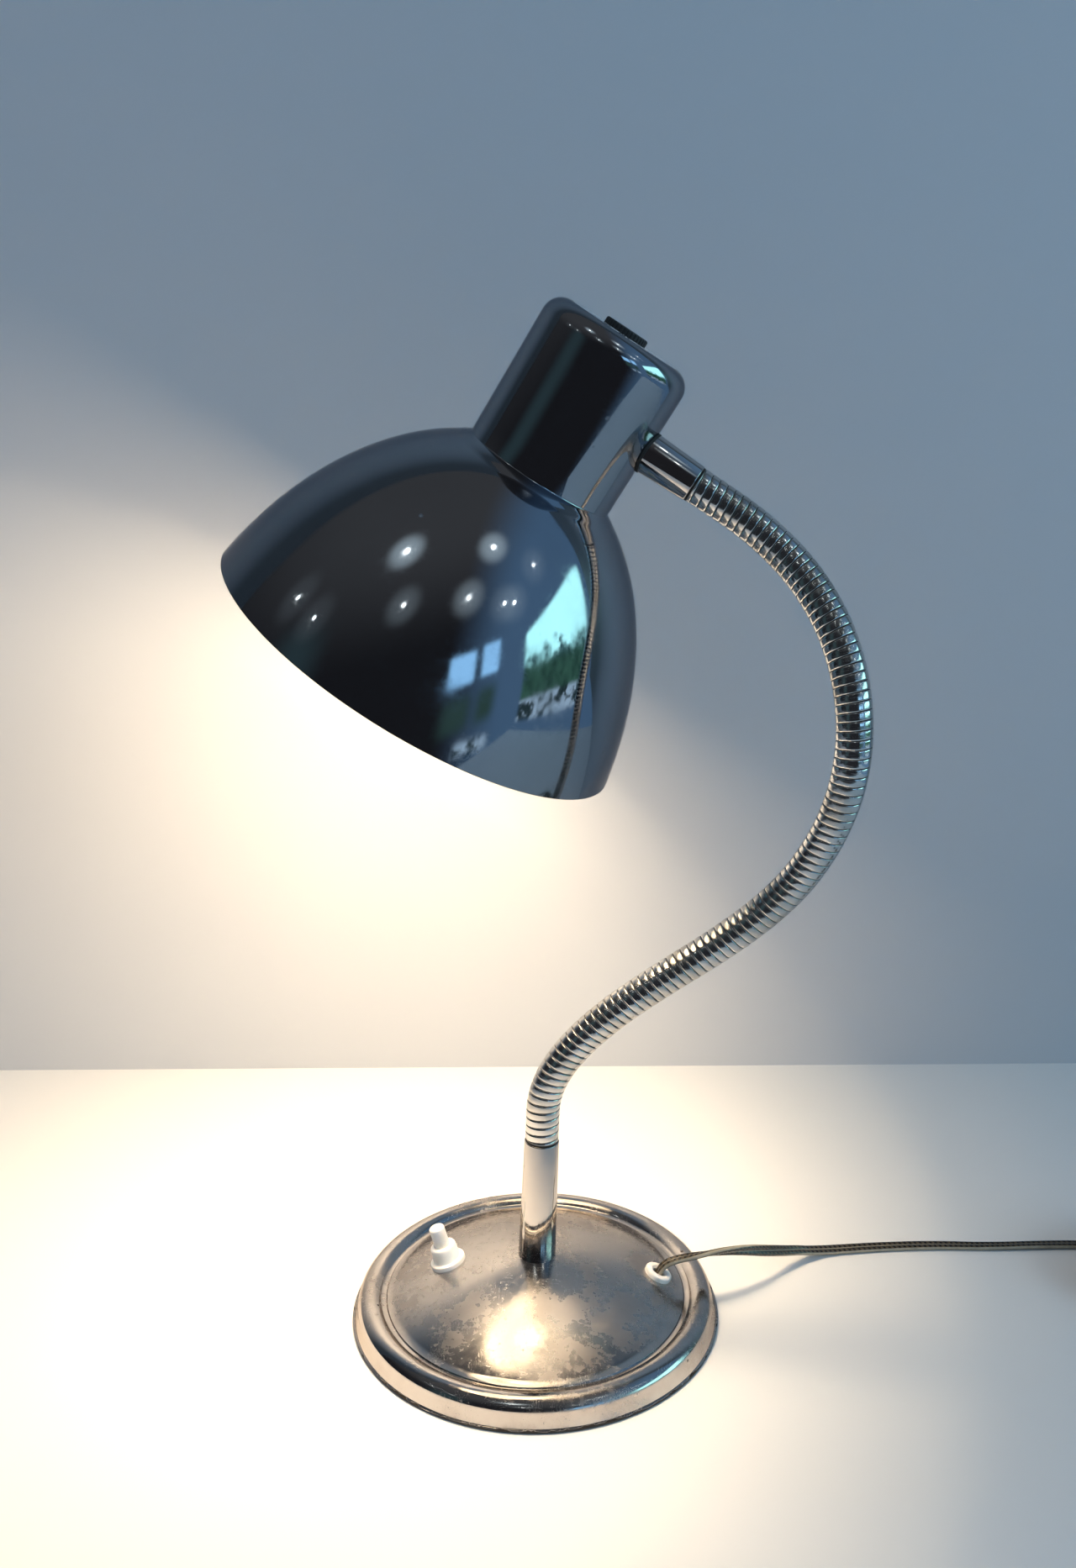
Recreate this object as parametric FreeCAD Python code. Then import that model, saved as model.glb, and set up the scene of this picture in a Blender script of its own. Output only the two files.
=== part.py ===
import FreeCAD, Part
import math
import os

# Gooseneck desk lamp with a push switch in its base.
# Millimetres, Z up. The origin is the centre of the base's underside.
# +X is the lamp's right and +Y its back, for someone who sits in front of it.

Vector = FreeCAD.Vector
Placement = FreeCAD.Placement
Rotation = FreeCAD.Rotation
UP = Vector(0, 0, 1)

# Clearances
slide_fit = 0.05
through_fit = 0.1
seat_gap = 0.02
wire_gap = 0.7
seat_lap = 1.0

# Base
foot_radius = 80.0
pad_thickness = 1.0
pad_inset = 0.7
base_sheet = 0.9
skirt_height = 4.8
skirt_flare = 3.0
skirt_curve_radius = 10.0
rim_tube_radius = 5.5
groove_depth = 3.9
groove_width = 2.24
dome_step = 0.8
dome_radius = 130.0
weight_inset = 3.1
weight_edge_height = 6.0
weight_chamfer_width = 4.0
weight_chamfer_height = 3.0
boss_wall = 4.0
boss_fillet = 5.0
well_radius = 12.0
wire_slot_height = 6.0
wire_slot_margin = 1.4

# Stem
stem_lean = 2.55
stem_foot_z = 7.0
collar_top = 72.9
collar_bottom_radius = 8.0
collar_top_radius = 7.35
collar_edge = 0.4
nipple_radius = 5.0
nipple_bore_radius = 3.6
stem_nipple_top = 57.0
stem_seat = 10.0
washer_radius = 9.0
washer_thickness = 1.2
nut_flats = 14.0
nut_thickness = 4.0
nut_thread_end = 1.0
sleeve_radius = 4.55
sleeve_wall = 1.35
sleeve_in_hose = 12.0
sleeve_gap = 1.5

# Neck hose and the lead inside it
hose_crest_radius = 7.05
hose_shoulder_radius = 6.95
hose_valley_radius = 6.35
hose_shoulder_at = 0.17
neck_sections = 6
ribs_per_section = 17
neck_straight = 14.0
neck_leave = 30.0
neck_arrive = 22.0
neck_bends = [(88.0, -2.5, 171.8), (112.8, -12.0, 207.1), (122.2, -22.0, 239.8),
              (122.7, -21.0, 272.5), (113.4, -8.0, 307.6)]
lead_radius = 1.8
lead_bend = 4.5

# Switch, along the dome's normal at its place
switch_x = -38.0
switch_y = 4.0
switch_flange_radius = 7.65
switch_flange_height = 1.9
switch_neck_radius = 5.6
switch_neck_height = 8.7
switch_edge = 0.7
switch_shank_radius = 5.0
switch_shank_depth = 4.0
switch_body_radius = 9.0
switch_body_depth = 13.5
switch_floor = 1.3
switch_pocket_gap = 1.5
button_radius = 3.35
button_height = 8.7
button_round = 1.0
button_guide_gap = 0.08
plunger_radius = 4.4
plunger_thickness = 1.4
plunger_gap = 0.2
spring_radius = 3.0
spring_wire = 0.5
spring_turns = 4
terminal_width = 4.0
terminal_thickness = 1.0
terminal_length = 2.0
terminal_spacing = 7.0

# Cord inlet, along the dome's normal at its place
grommet_x = 53.5
grommet_y = 2.0
grommet_radius = 6.0
grommet_height = 2.2
grommet_neck_radius = 4.7
grommet_lip_radius = 5.4
grommet_lip = 1.3
grommet_flare = 0.6

# Wires in the base
splice_x = 22.0
splice_length = 10.0
splice_height = 5.8
switch_lane_y = 4.5
lane_height = 3.0
lead_end_gap = 0.2

# Head: a cap and a bell in one spun sheet
head_place = Vector(3.1, 19.0, 353.6)
head_azimuth = 75.7
head_elevation = 56.7
shade_sheet = 0.8
cap_radius = 31.0
cap_height = 62.0
cap_round = 8.0
shoulder_width = 3.85
shoulder_height = 2.4
shoulder_edge = 0.5
bell_half_width = 94.43
bell_half_length = 139.28
bell_depth = 89.0
ferrule_bearing = 5.0
ferrule_height = 31.0
ferrule_base_radius = 8.05
ferrule_end_radius = 7.35
ferrule_reach = 52.5
gasket_radius = 8.3
gasket_thickness = 1.0
head_washer_thickness = 2.0
head_nipple_reach = 39.0

# Lampholder and bulb, hung from the cap's top
top_nut_radius = 9.0
top_nut_height = 2.5
top_nut_grooves = 36
top_nut_groove_radius = 0.45
top_nut_skin = 0.9
holder_nipple_length = 12.0
holder_washer_radius = 10.0
holder_radius = 17.0
holder_length = 48.0
holder_top_radius = 9.5
holder_cone = 10.0
holder_wall = 2.2
holder_roof = 14.0
holder_entry_drop = 6.0
thread_radius = 13.3
thread_wall = 0.5
thread_fit = 0.2
thread_length = 26.0
contact_width = 6.0
contact_thickness = 0.6
contact_drop = 3.0
bulb_cap_length = 24.0
bulb_contact_radius = 4.0
bulb_contact_height = 2.0
bulb_glass_radius = 30.0
bulb_glass_wall = 0.7
bulb_neck_radius = 14.5
bulb_length = 110.0
bulb_shoulder_drop = 52.0

# Cord, its coil and the plug
cord_radius = 2.5
cord_rise = 5.2
cord_bends = [(61.5, 2.4, 20.6), (69.5, 3.4, 21.6), (80.0, 7.0, 21.2), (92.0, 12.5, 18.5),
              (105.0, 20.5, 12.8), (118.0, 30.0, 6.5), (134.0, 37.0, 2.8), (158.0, 40.0, 2.6),
              (186.0, 41.5, 2.6), (214.0, 40.2, 2.6), (243.0, 41.4, 2.6), (262.0, 41.0, 2.6)]
coil_x = 281.0
coil_y = 8.0
coil_inner_radius = 22.0
coil_pitch = 5.5
coil_layers = 4
turns_per_layer = 2
coil_last_part = 0.25
coil_rest_z = 2.6
coil_straight = 5.0
tail_bends = [(315.0, -14.0, 18.0), (314.0, -30.0, 13.0), (311.5, -48.0, 6.0), (308.0, -67.0, 2.9),
              (302.5, -86.0, 4.2)]
plug_entry = (297.5, -101.0, 7.0)
plug_end = (291.0, -121.0, 7.0)
plug_length = 36.0
plug_neck_radius = 4.6
plug_half_width = 14.0
plug_half_height = 6.9
pin_radius = 2.0
pin_length = 19.0
pin_spacing = 19.0
pin_embed = 8.0

# Places worked out from the sizes
pad_radius = foot_radius - pad_inset
rim_centre_z = pad_thickness + skirt_height
rim_centre_radius = foot_radius - skirt_flare - rim_tube_radius
rim_crest_z = rim_centre_z + rim_tube_radius
groove_floor_z = rim_crest_z - groove_depth
dome_edge_z = groove_floor_z + dome_step
rim_inner_radius = rim_centre_radius - math.sqrt(rim_tube_radius ** 2 - (groove_floor_z - rim_centre_z) ** 2)
dome_edge_radius = rim_inner_radius - groove_width
dome_centre = Vector(0, 0, dome_edge_z - math.sqrt(dome_radius ** 2 - dome_edge_radius ** 2))
hose_bore_radius = sleeve_radius + slide_fit
boss_radius = well_radius + boss_wall
shoulder_radius = cap_radius + shoulder_width
bell_centre_depth = bell_half_length * math.sqrt(1 - (shoulder_radius / bell_half_width) ** 2)
coil_outer_radius = coil_inner_radius + coil_pitch * turns_per_layer


def point(pair):
    return Vector(pair[0], 0, pair[1])


def bow(start, end, radius):
    """Middle of an arc from start to end, which bulges left of the way for a positive radius."""
    along = (end[0] - start[0], end[1] - start[1])
    chord = math.hypot(*along)
    rise = math.copysign(abs(radius) - math.sqrt(radius ** 2 - chord ** 2 / 4), radius)
    return ((start[0] + end[0]) / 2 - along[1] / chord * rise,
            (start[1] + end[1]) / 2 + along[0] / chord * rise)


def face_of(start, *steps):
    """Face in the XZ plane. A step is a corner, or an arc's middle and end."""
    edges = []
    here = start
    for step in steps + (start,):
        if isinstance(step[0], tuple):
            edges.append(Part.Arc(point(here), point(step[0]), point(step[1])).toShape())
            here = step[1]
        else:
            edges.append(Part.makeLine(point(here), point(step)))
            here = step
    return Part.Face(Part.Wire(edges))


def turned(start, *steps):
    return face_of(start, *steps).revolve(Vector(), UP, 360)


def ring(outer, inner, low, high):
    return turned((inner, low), (outer, low), (outer, high), (inner, high))


def put(shape, place):
    moved = shape.copy()
    moved.Placement = place.multiply(moved.Placement)
    return moved


def ball(radius):
    return Part.makeSphere(radius, dome_centre)


def dome_place(x, y):
    """Frame on the dome above x, y, with Z along the dome's normal."""
    z = dome_centre.z + math.sqrt(dome_radius ** 2 - x ** 2 - y ** 2)
    normal = (Vector(x, y, z) - dome_centre).normalize()
    return Placement(Vector(x, y, z), Rotation(UP, normal))


def square_frame(origin, direction):
    """Frame with Z along the direction and X as near the world's Y as it can be."""
    return Placement(origin, Rotation(Vector(0, 1, 0), Vector(), direction, "ZXY"))


def hexagon_nut(flats, bore, low, thickness):
    corner = flats / math.sqrt(3)
    corners = [Vector(corner * math.cos(math.radians(60 * k)), corner * math.sin(math.radians(60 * k)), low)
               for k in range(7)]
    body = Part.Face(Part.makePolygon(corners)).extrude(Vector(0, 0, thickness))
    return body.cut(Part.makeCylinder(bore, thickness, Vector(0, 0, low)))


def rounded_path(points, tightest=None):
    """Wire of straight runs and tangent arcs, with the arcs as large as their runs allow."""
    edges, radii = [], []
    here = points[0]
    for before, corner, after in zip(points, points[1:], points[2:]):
        come, leave = corner - before, after - corner
        half_turn = come.getAngle(leave) / 2
        trim = 0.45 * min(come.Length, leave.Length)
        if tightest:
            trim = tightest * math.tan(half_turn)
        come.normalize()
        leave.normalize()
        start, end = corner - come * trim, corner + leave * trim
        radii.append(trim / math.tan(half_turn))
        inward = (leave - come).normalize()
        middle = corner + inward * (radii[-1] * (1 / math.cos(half_turn) - 1))
        edges.append(Part.makeLine(here, start))
        edges.append(Part.Arc(start, middle, end).toShape())
        here = end
    edges.append(Part.makeLine(here, points[-1]))
    return Part.Wire(edges), radii


def swept(wire, radius):
    first = wire.OrderedEdges[0]
    start = first.valueAt(first.FirstParameter)
    circle = Part.makeCircle(radius, start, first.tangentAt(first.FirstParameter))
    return wire.makePipeShell([Part.Wire(circle)], True, False)


def tube(name, points, radius, tightest=None):
    wire, radii = rounded_path(points, tightest)
    solid = swept(wire, radius)
    share = solid.Volume / (math.pi * radius ** 2 * wire.Length)
    print(name, "length", round(wire.Length, 1), "radii", [round(r, 1) for r in radii],
          "volume", round(share, 4))
    return solid


def arc_to_corner(start, corner, end):
    """Arc from start to end whose two end tangents meet at the corner."""
    middle = (start + end) * 0.5
    half = (end - start).Length / 2
    reach = corner - middle
    angle = math.atan2(reach.Length, half)
    return Part.Arc(start, middle + reach * (math.tan(angle / 2) / math.tan(angle)), end).toShape()


def biarc(start, way_in, end, way_out):
    """Two arcs that join two points and keep the direction at both."""
    across = end - start
    both = way_in + way_out
    spread = 2 * (1 - way_in.dot(way_out))
    lean = across.dot(both)
    reach = (math.sqrt(lean ** 2 + spread * across.dot(across)) - lean) / spread
    corner_in, corner_out = start + way_in * reach, end - way_out * reach
    middle = (corner_in + corner_out) * 0.5
    return [arc_to_corner(start, corner_in, middle), arc_to_corner(middle, corner_out, end)]


def wound_path(place_at, turns, straight):
    """Wire through place_at(turn) in quarter turns, with a straight run at each end."""
    step, near = 0.25, 0.02
    stops = [k * step for k in range(int(round(turns / step)) + 1)]
    places = [place_at(stop) for stop in stops]
    ways = [(place_at(stop + near) - place_at(stop - near)).normalize() for stop in stops]
    edges = [Part.makeLine(places[0] - ways[0] * straight, places[0])]
    for k in range(len(stops) - 1):
        edges += biarc(places[k], ways[k], places[k + 1], ways[k + 1])
    edges.append(Part.makeLine(places[-1], places[-1] + ways[-1] * straight))
    return Part.Wire(edges)


def least_gap(wire, radius, apart):
    """Least gap between stretches of one wound tube, measured on points."""
    step = 1.5
    points = wire.discretize(Number=int(wire.Length / step))
    skip = int(apart / step)
    best = min((here - there).Length for i, here in enumerate(points) for there in points[i + skip:])
    return best - 2 * radius


def write(name, shape):
    solids = shape.Solids
    kept = solids[0] if len(solids) == 1 else Part.makeCompound(solids)
    if not kept.isValid():
        print("not valid:", name)
    kept.exportStep("parts/" + name + ".step")


stem_way = Vector(math.sin(math.radians(stem_lean)), 0, math.cos(math.radians(stem_lean)))
stem_frame = Placement(Vector(0, 0, stem_foot_z), Rotation(UP, stem_way))
switch_frame = dome_place(switch_x, switch_y)
grommet_frame = dome_place(grommet_x, grommet_y)

azimuth, elevation = math.radians(head_azimuth), math.radians(head_elevation)
head_axis = Vector(math.cos(elevation) * math.sin(azimuth), -math.cos(elevation) * math.cos(azimuth),
                   math.sin(elevation))
head_down = Vector(math.sin(elevation) * math.sin(azimuth), -math.sin(elevation) * math.cos(azimuth),
                   -math.cos(elevation))
head_side = Vector(math.cos(azimuth), math.sin(azimuth), 0)
bearing = math.radians(ferrule_bearing)
ferrule_way = head_down * math.cos(bearing) + head_side * math.sin(bearing)
head_frame = Placement(head_place, Rotation(ferrule_way, Vector(), head_axis, "ZXY"))
ferrule_frame = Placement(Vector(0, 0, ferrule_height), Rotation(UP, Vector(1, 0, 0)))


def on_head(shape):
    return put(shape, head_frame)


def on_ferrule(shape):
    """Places a piece that is turned about the ferrule's axis, with Z as the distance from the cap's axis."""
    return on_head(put(shape, ferrule_frame))


def base_pad():
    return Part.makeCylinder(pad_radius, pad_thickness)


def base_shell():
    inner_tube = rim_tube_radius - base_sheet
    under_floor = groove_floor_z - base_sheet
    inner_start = rim_centre_radius - math.sqrt(inner_tube ** 2 - (under_floor - rim_centre_z) ** 2)
    foot = (foot_radius, pad_thickness)
    skirt_top = (foot_radius - skirt_flare, rim_centre_z)
    dome_edge = (dome_edge_radius, dome_edge_z)
    dome_top = (0, dome_centre.z + dome_radius)
    under_top = (0, dome_top[1] - base_sheet)
    under_radius = dome_radius - base_sheet
    edge_radius = dome_edge_radius - base_sheet
    under_edge = (edge_radius, dome_centre.z + math.sqrt(under_radius ** 2 - edge_radius ** 2))
    skirt_inside = (skirt_top[0] - base_sheet, rim_centre_z)
    foot_inside = (foot_radius - base_sheet, pad_thickness)
    sheet = turned(
        foot, (bow(foot, skirt_top, skirt_curve_radius), skirt_top),
        ((rim_centre_radius, rim_crest_z), (rim_inner_radius, groove_floor_z)),
        (dome_edge_radius, groove_floor_z), dome_edge,
        (bow(dome_edge, dome_top, -dome_radius), dome_top), under_top,
        (bow(under_top, under_edge, under_radius), under_edge),
        (edge_radius, under_floor), (inner_start, under_floor),
        ((rim_centre_radius, rim_crest_z - base_sheet), skirt_inside),
        (bow(skirt_inside, foot_inside, -skirt_curve_radius), foot_inside))
    deep = 4 * base_sheet
    for radius, frame in ((nipple_radius + through_fit, dome_crossing(stem_frame)),
                          (switch_shank_radius + through_fit, switch_frame),
                          (grommet_neck_radius + slide_fit, grommet_frame)):
        sheet = sheet.cut(put(Part.makeCylinder(radius, 2 * deep, Vector(0, 0, -deep)), frame))
    return sheet


def dome_crossing(frame):
    """The stem's frame, moved up its axis to the dome."""
    rise = (dome_centre.z + dome_radius - stem_foot_z) / math.cos(math.radians(stem_lean))
    return frame.multiply(Placement(Vector(0, 0, rise), Rotation()))


def base_weight():
    radius = dome_edge_radius - base_sheet - weight_inset
    edge_z = pad_thickness + weight_edge_height
    top_z = edge_z + weight_chamfer_height
    boss_ball = dome_radius - base_sheet - through_fit
    boss_top = (0, dome_centre.z + boss_ball)
    boss_edge = (boss_radius, dome_centre.z + math.sqrt(boss_ball ** 2 - boss_radius ** 2))
    block = turned(
        (0, pad_thickness), (radius, pad_thickness), (radius, edge_z), (radius - weight_chamfer_width, top_z),
        (boss_radius + boss_fillet, top_z), (boss_radius, top_z + boss_fillet), boss_edge,
        (bow(boss_edge, boss_top, -boss_ball), boss_top))
    tall = 2 * boss_top[1]
    block = block.cut(put(Part.makeCylinder(nipple_radius + through_fit, tall), stem_frame))
    block = block.cut(put(Part.makeCylinder(well_radius, tall, Vector(0, 0, stem_seat - tall)), stem_frame))
    pocket = Part.makeCylinder(switch_body_radius + switch_pocket_gap, 2 * tall, Vector(0, 0, -tall))
    block = block.cut(put(pocket, switch_frame))
    slot_low = min(-lead_radius, grommet_y - cord_radius) - wire_slot_margin
    slot_high = max(switch_lane_y + lead_radius, grommet_y + cord_radius) + wire_slot_margin
    slot = Part.makeBox(radius - switch_x, slot_high - slot_low, wire_slot_height,
                        Vector(switch_x, slot_low, pad_thickness))
    mouth_start = grommet_x - 2 * grommet_radius
    mouth = Part.makeBox(radius, slot_high - slot_low, tall, Vector(mouth_start, slot_low, pad_thickness))
    return block.cut(slot).cut(mouth)


def stem_nipple():
    low = stem_seat - washer_thickness - nut_thickness - nut_thread_end
    return put(ring(nipple_radius, nipple_bore_radius, low, stem_nipple_top), stem_frame)


def stem_washer():
    bore = nipple_radius + through_fit
    return put(ring(washer_radius, bore, stem_seat - washer_thickness, stem_seat), stem_frame)


def stem_nut():
    low = stem_seat - washer_thickness - nut_thickness
    return put(hexagon_nut(nut_flats, nipple_radius + slide_fit, low, nut_thickness), stem_frame)


def lower_collar():
    low = dome_centre.z + dome_radius - stem_foot_z - seat_lap
    sleeve_start = stem_nipple_top + sleeve_gap / 2
    wide_bore, narrow_bore = nipple_radius + through_fit, sleeve_radius + slide_fit
    collar = turned(
        (wide_bore, low), (collar_bottom_radius, low), (collar_top_radius, collar_top - collar_edge),
        (collar_top_radius - collar_edge, collar_top), (narrow_bore, collar_top),
        (narrow_bore, sleeve_start), (wide_bore, sleeve_start))
    return put(collar, stem_frame).cut(ball(dome_radius + seat_gap))


def lower_end_sleeve():
    low, high = stem_nipple_top + sleeve_gap, collar_top + sleeve_in_hose
    return put(ring(sleeve_radius, sleeve_radius - sleeve_wall, low, high), stem_frame)


def seated_flange(frame, flange, shank):
    """A flange cut to the dome's curve, with the shank that goes through the sheet."""
    seat = put(flange, frame).cut(ball(dome_radius + seat_gap))
    return seat.fuse(put(shank, frame)).removeSplitter()


def switch_bushing():
    bore = button_radius + button_guide_gap
    top = switch_neck_height
    flange = turned(
        (bore, -seat_lap), (switch_flange_radius, -seat_lap),
        (switch_flange_radius, switch_flange_height - switch_edge),
        (switch_flange_radius - switch_edge, switch_flange_height),
        (switch_neck_radius, switch_flange_height),
        (switch_neck_radius, top - switch_edge), (switch_neck_radius - switch_edge, top), (bore, top))
    shank = ring(switch_shank_radius, bore, -switch_shank_depth, switch_flange_height)
    return seated_flange(switch_frame, flange, shank)


def switch_top():
    """Height of the switch body's top under the sheet, at the body's edge."""
    return -base_sheet - switch_body_radius ** 2 / (2 * (dome_radius - base_sheet)) - through_fit


def chamber_top():
    return -switch_shank_depth - plunger_gap


def chamber_floor():
    return -switch_body_depth + switch_floor


def switch_body():
    collar_bore, chamber = switch_shank_radius + slide_fit, plunger_radius + plunger_gap
    ledge = -switch_shank_depth - slide_fit
    body = turned(
        (0, -switch_body_depth), (switch_body_radius, -switch_body_depth), (switch_body_radius, switch_top()),
        (collar_bore, switch_top()), (collar_bore, ledge), (chamber, ledge), (chamber, chamber_floor()),
        (0, chamber_floor()))
    return put(body, switch_frame)


def switch_button():
    top = switch_neck_height + button_height
    low = chamber_top() - plunger_thickness
    crown = (button_radius - button_round, top)
    wall = (button_radius, top - button_round)
    button = turned(
        (0, low), (plunger_radius, low), (plunger_radius, chamber_top()), (button_radius, chamber_top()),
        wall, (bow(wall, crown, -button_round), crown), (0, top))
    return put(button, switch_frame)


def switch_spring():
    high = chamber_top() - plunger_thickness - spring_wire / 2 - slide_fit
    low = chamber_floor() + spring_wire / 2 + slide_fit

    def place_at(turn):
        angle = 2 * math.pi * turn
        rise = min(max(turn / spring_turns, 0), 1) * (high - low)
        return Vector(spring_radius * math.cos(angle), spring_radius * math.sin(angle), low + rise)

    wire = wound_path(place_at, spring_turns, spring_wire)
    print("spring least gap", round(least_gap(wire, spring_wire / 2, 2 * spring_radius), 2))
    return put(swept(wire, spring_wire / 2), switch_frame)


def switch_terminals():
    tabs = []
    for side in (-1, 1):
        corner = Vector(-terminal_width / 2, side * terminal_spacing / 2 - terminal_thickness / 2,
                        -switch_body_depth - terminal_length)
        tab = Part.makeBox(terminal_width, terminal_thickness, terminal_length, corner)
        tabs.append(put(tab, switch_frame))
    return Part.makeCompound(tabs)


def cord_grommet():
    bore, wide = cord_radius + through_fit, cord_radius + through_fit + grommet_flare
    under = -base_sheet - grommet_lip_radius ** 2 / (2 * (dome_radius - base_sheet)) - through_fit
    edge = grommet_radius / 6
    flange = turned(
        (bore, -seat_lap), (grommet_radius, -seat_lap), (grommet_radius, grommet_height - edge),
        (bow((grommet_radius, grommet_height - edge), (grommet_radius - edge, grommet_height), -edge),
         (grommet_radius - edge, grommet_height)),
        (wide, grommet_height), (bore, grommet_height - grommet_flare))
    shank = turned(
        (bore, under - grommet_lip), (grommet_lip_radius, under - grommet_lip), (grommet_lip_radius, under),
        (grommet_neck_radius, under), (grommet_neck_radius, grommet_height / 2), (bore, grommet_height / 2))
    return seated_flange(grommet_frame, flange, shank)


def cord_exit():
    return grommet_frame.Base


def base_cord():
    lane_z = pad_thickness + lane_height
    way = grommet_frame.Rotation.multVec(UP)
    corner = cord_exit() - way * ((cord_exit().z - lane_z) / way.z)
    end = Vector(splice_x + splice_length + lead_end_gap, corner.y, lane_z)
    return tube("base_cord", [cord_exit(), corner, end], cord_radius)


def wire_splice():
    low = min(-lead_radius, grommet_y - cord_radius)
    high = max(switch_lane_y + lead_radius, grommet_y + cord_radius)
    return Part.makeBox(splice_length, high - low, splice_height, Vector(splice_x, low, pad_thickness))


def stem_lead():
    lane_z = pad_thickness + lane_height
    top = stem_frame.multVec(Vector(0, 0, collar_top))
    corner = stem_frame.multVec(Vector(0, 0, (lane_z - stem_foot_z) / stem_way.z))
    end = Vector(splice_x - lead_end_gap, 0, lane_z)
    return tube("stem_lead", [top, corner, end], lead_radius, lead_bend)


def switch_lead():
    lane_z = pad_thickness + lane_height
    start = Vector(splice_x - lead_end_gap, switch_lane_y, lane_z)
    tip = switch_frame.multVec(Vector(terminal_width / 2, 0, -switch_body_depth - terminal_length))
    end = Vector(tip.x + lead_end_gap, switch_lane_y, lane_z)
    return swept(Part.Wire(Part.makeLine(start, end)), lead_radius)


collar_end = stem_frame.multVec(Vector(0, 0, collar_top))
hose_end = head_frame.multVec(Vector(ferrule_reach, 0, ferrule_height))
neck_start = collar_end + stem_way * neck_straight
neck_finish = hose_end + ferrule_way * neck_straight
neck_poles = ([neck_start, neck_start + stem_way * neck_leave] + [Vector(*bend) for bend in neck_bends]
              + [neck_finish + ferrule_way * neck_arrive, neck_finish])
neck_spans = len(neck_poles) - 3
neck_curve = Part.BSplineCurve()
neck_curve.buildFromPolesMultsKnots(
    neck_poles, [4] + [1] * (neck_spans - 1) + [4], [k / neck_spans for k in range(neck_spans + 1)], False, 3)
neck_curve_length = neck_curve.length()
neck_length = neck_curve_length + 2 * neck_straight
section_length = neck_length / neck_sections
rib_pitch = section_length / ribs_per_section


def neck_at(distance):
    """Place and direction on the hose's centre line, at a distance from the collar."""
    if distance <= neck_straight:
        return collar_end + stem_way * distance, stem_way
    if distance >= neck_length - neck_straight:
        return hose_end + ferrule_way * (neck_length - distance), ferrule_way * -1
    at = neck_curve.parameterAtDistance(distance - neck_straight, neck_curve.FirstParameter)
    return neck_curve.value(at), Vector(*neck_curve.tangent(at)[0])


def ring_at(distance, radius):
    place, way = neck_at(distance)
    frame = square_frame(place, way)
    circle = Part.Circle()
    circle.Radius = radius
    edge = circle.toShape()
    edge.Placement = frame
    return Part.Wire(edge)


def gooseneck_section(index):
    start = index * section_length
    rib = [(0.0, hose_valley_radius), (hose_shoulder_at, hose_shoulder_radius), (0.5, hose_crest_radius),
           (1 - hose_shoulder_at, hose_shoulder_radius)]
    rings = [ring_at(start + (k + share) * rib_pitch, radius)
             for k in range(ribs_per_section) for share, radius in rib]
    rings.append(ring_at(start + section_length, hose_valley_radius))
    bore = [ring_at(start + k * rib_pitch, hose_bore_radius) for k in range(ribs_per_section + 1)]
    return Part.makeLoft(rings, True, True).cut(Part.makeLoft(bore, True, True))


def lead_section(index):
    start = index * section_length
    rings = [ring_at(start + k * rib_pitch, lead_radius) for k in range(ribs_per_section + 1)]
    return Part.makeLoft(rings, True, True)


def bell_radius(depth, half_width, half_length):
    return half_width * math.sqrt(1 - ((bell_centre_depth - depth) / half_length) ** 2)


def bell_points(skin, low, high, count):
    half_width, half_length = bell_half_width - skin, bell_half_length - skin
    depths = [low + (high - low) * k / count for k in range(count + 1)]
    return [Vector(bell_radius(depth, half_width, half_length), 0, -depth) for depth in depths]


def smooth_edge(points):
    curve = Part.BSplineCurve()
    curve.interpolate(points)
    return curve.toShape()


def shade():
    skin = shade_sheet
    cap_inner, inner_round = cap_radius - skin, cap_round - skin
    outer_bell = bell_points(0, 0, bell_depth, 8)
    inner_bell = bell_points(skin, skin, bell_depth, 8)
    crest_edge = Vector(shoulder_radius, 0, 0)
    band = Vector(shoulder_radius - shoulder_edge, 0, shoulder_edge)
    cap_foot = Vector(cap_radius, 0, shoulder_height)
    wall_top = (cap_radius, cap_height - cap_round)
    roof_edge = (cap_radius - cap_round, cap_height)
    inner_roof_edge = (cap_radius - cap_round, cap_height - skin)
    inner_wall_top = (cap_inner, cap_height - cap_round)
    inner_foot = Vector(cap_inner, 0, shoulder_height - skin)
    edges = [
        smooth_edge(outer_bell[::-1]),
        Part.makeLine(crest_edge, band),
        Part.makeLine(band, cap_foot),
        Part.makeLine(cap_foot, point(wall_top)),
        Part.Arc(point(wall_top), point(bow(wall_top, roof_edge, -cap_round)), point(roof_edge)).toShape(),
        Part.makeLine(point(roof_edge), Vector(0, 0, cap_height)),
        Part.makeLine(Vector(0, 0, cap_height), Vector(0, 0, cap_height - skin)),
        Part.makeLine(Vector(0, 0, cap_height - skin), point(inner_roof_edge)),
        Part.Arc(point(inner_roof_edge), point(bow(inner_roof_edge, inner_wall_top, inner_round)),
                 point(inner_wall_top)).toShape(),
        Part.makeLine(point(inner_wall_top), inner_foot),
        Part.makeLine(inner_foot, inner_bell[0]),
        smooth_edge(inner_bell),
        Part.makeLine(inner_bell[-1], outer_bell[-1])]
    sheet = Part.Face(Part.Wire(edges)).revolve(Vector(), UP, 360)
    hole = nipple_radius + through_fit
    sheet = sheet.cut(Part.makeCylinder(hole, 4 * skin, Vector(0, 0, cap_height - 2 * skin)))
    side = Part.makeCylinder(hole, cap_radius, Vector(cap_radius / 2, 0, ferrule_height), Vector(1, 0, 0))
    return on_head(sheet.cut(side))


def cap_column(radius):
    return Part.makeCylinder(radius, 2 * cap_height, Vector(0, 0, -cap_height / 2))


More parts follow.
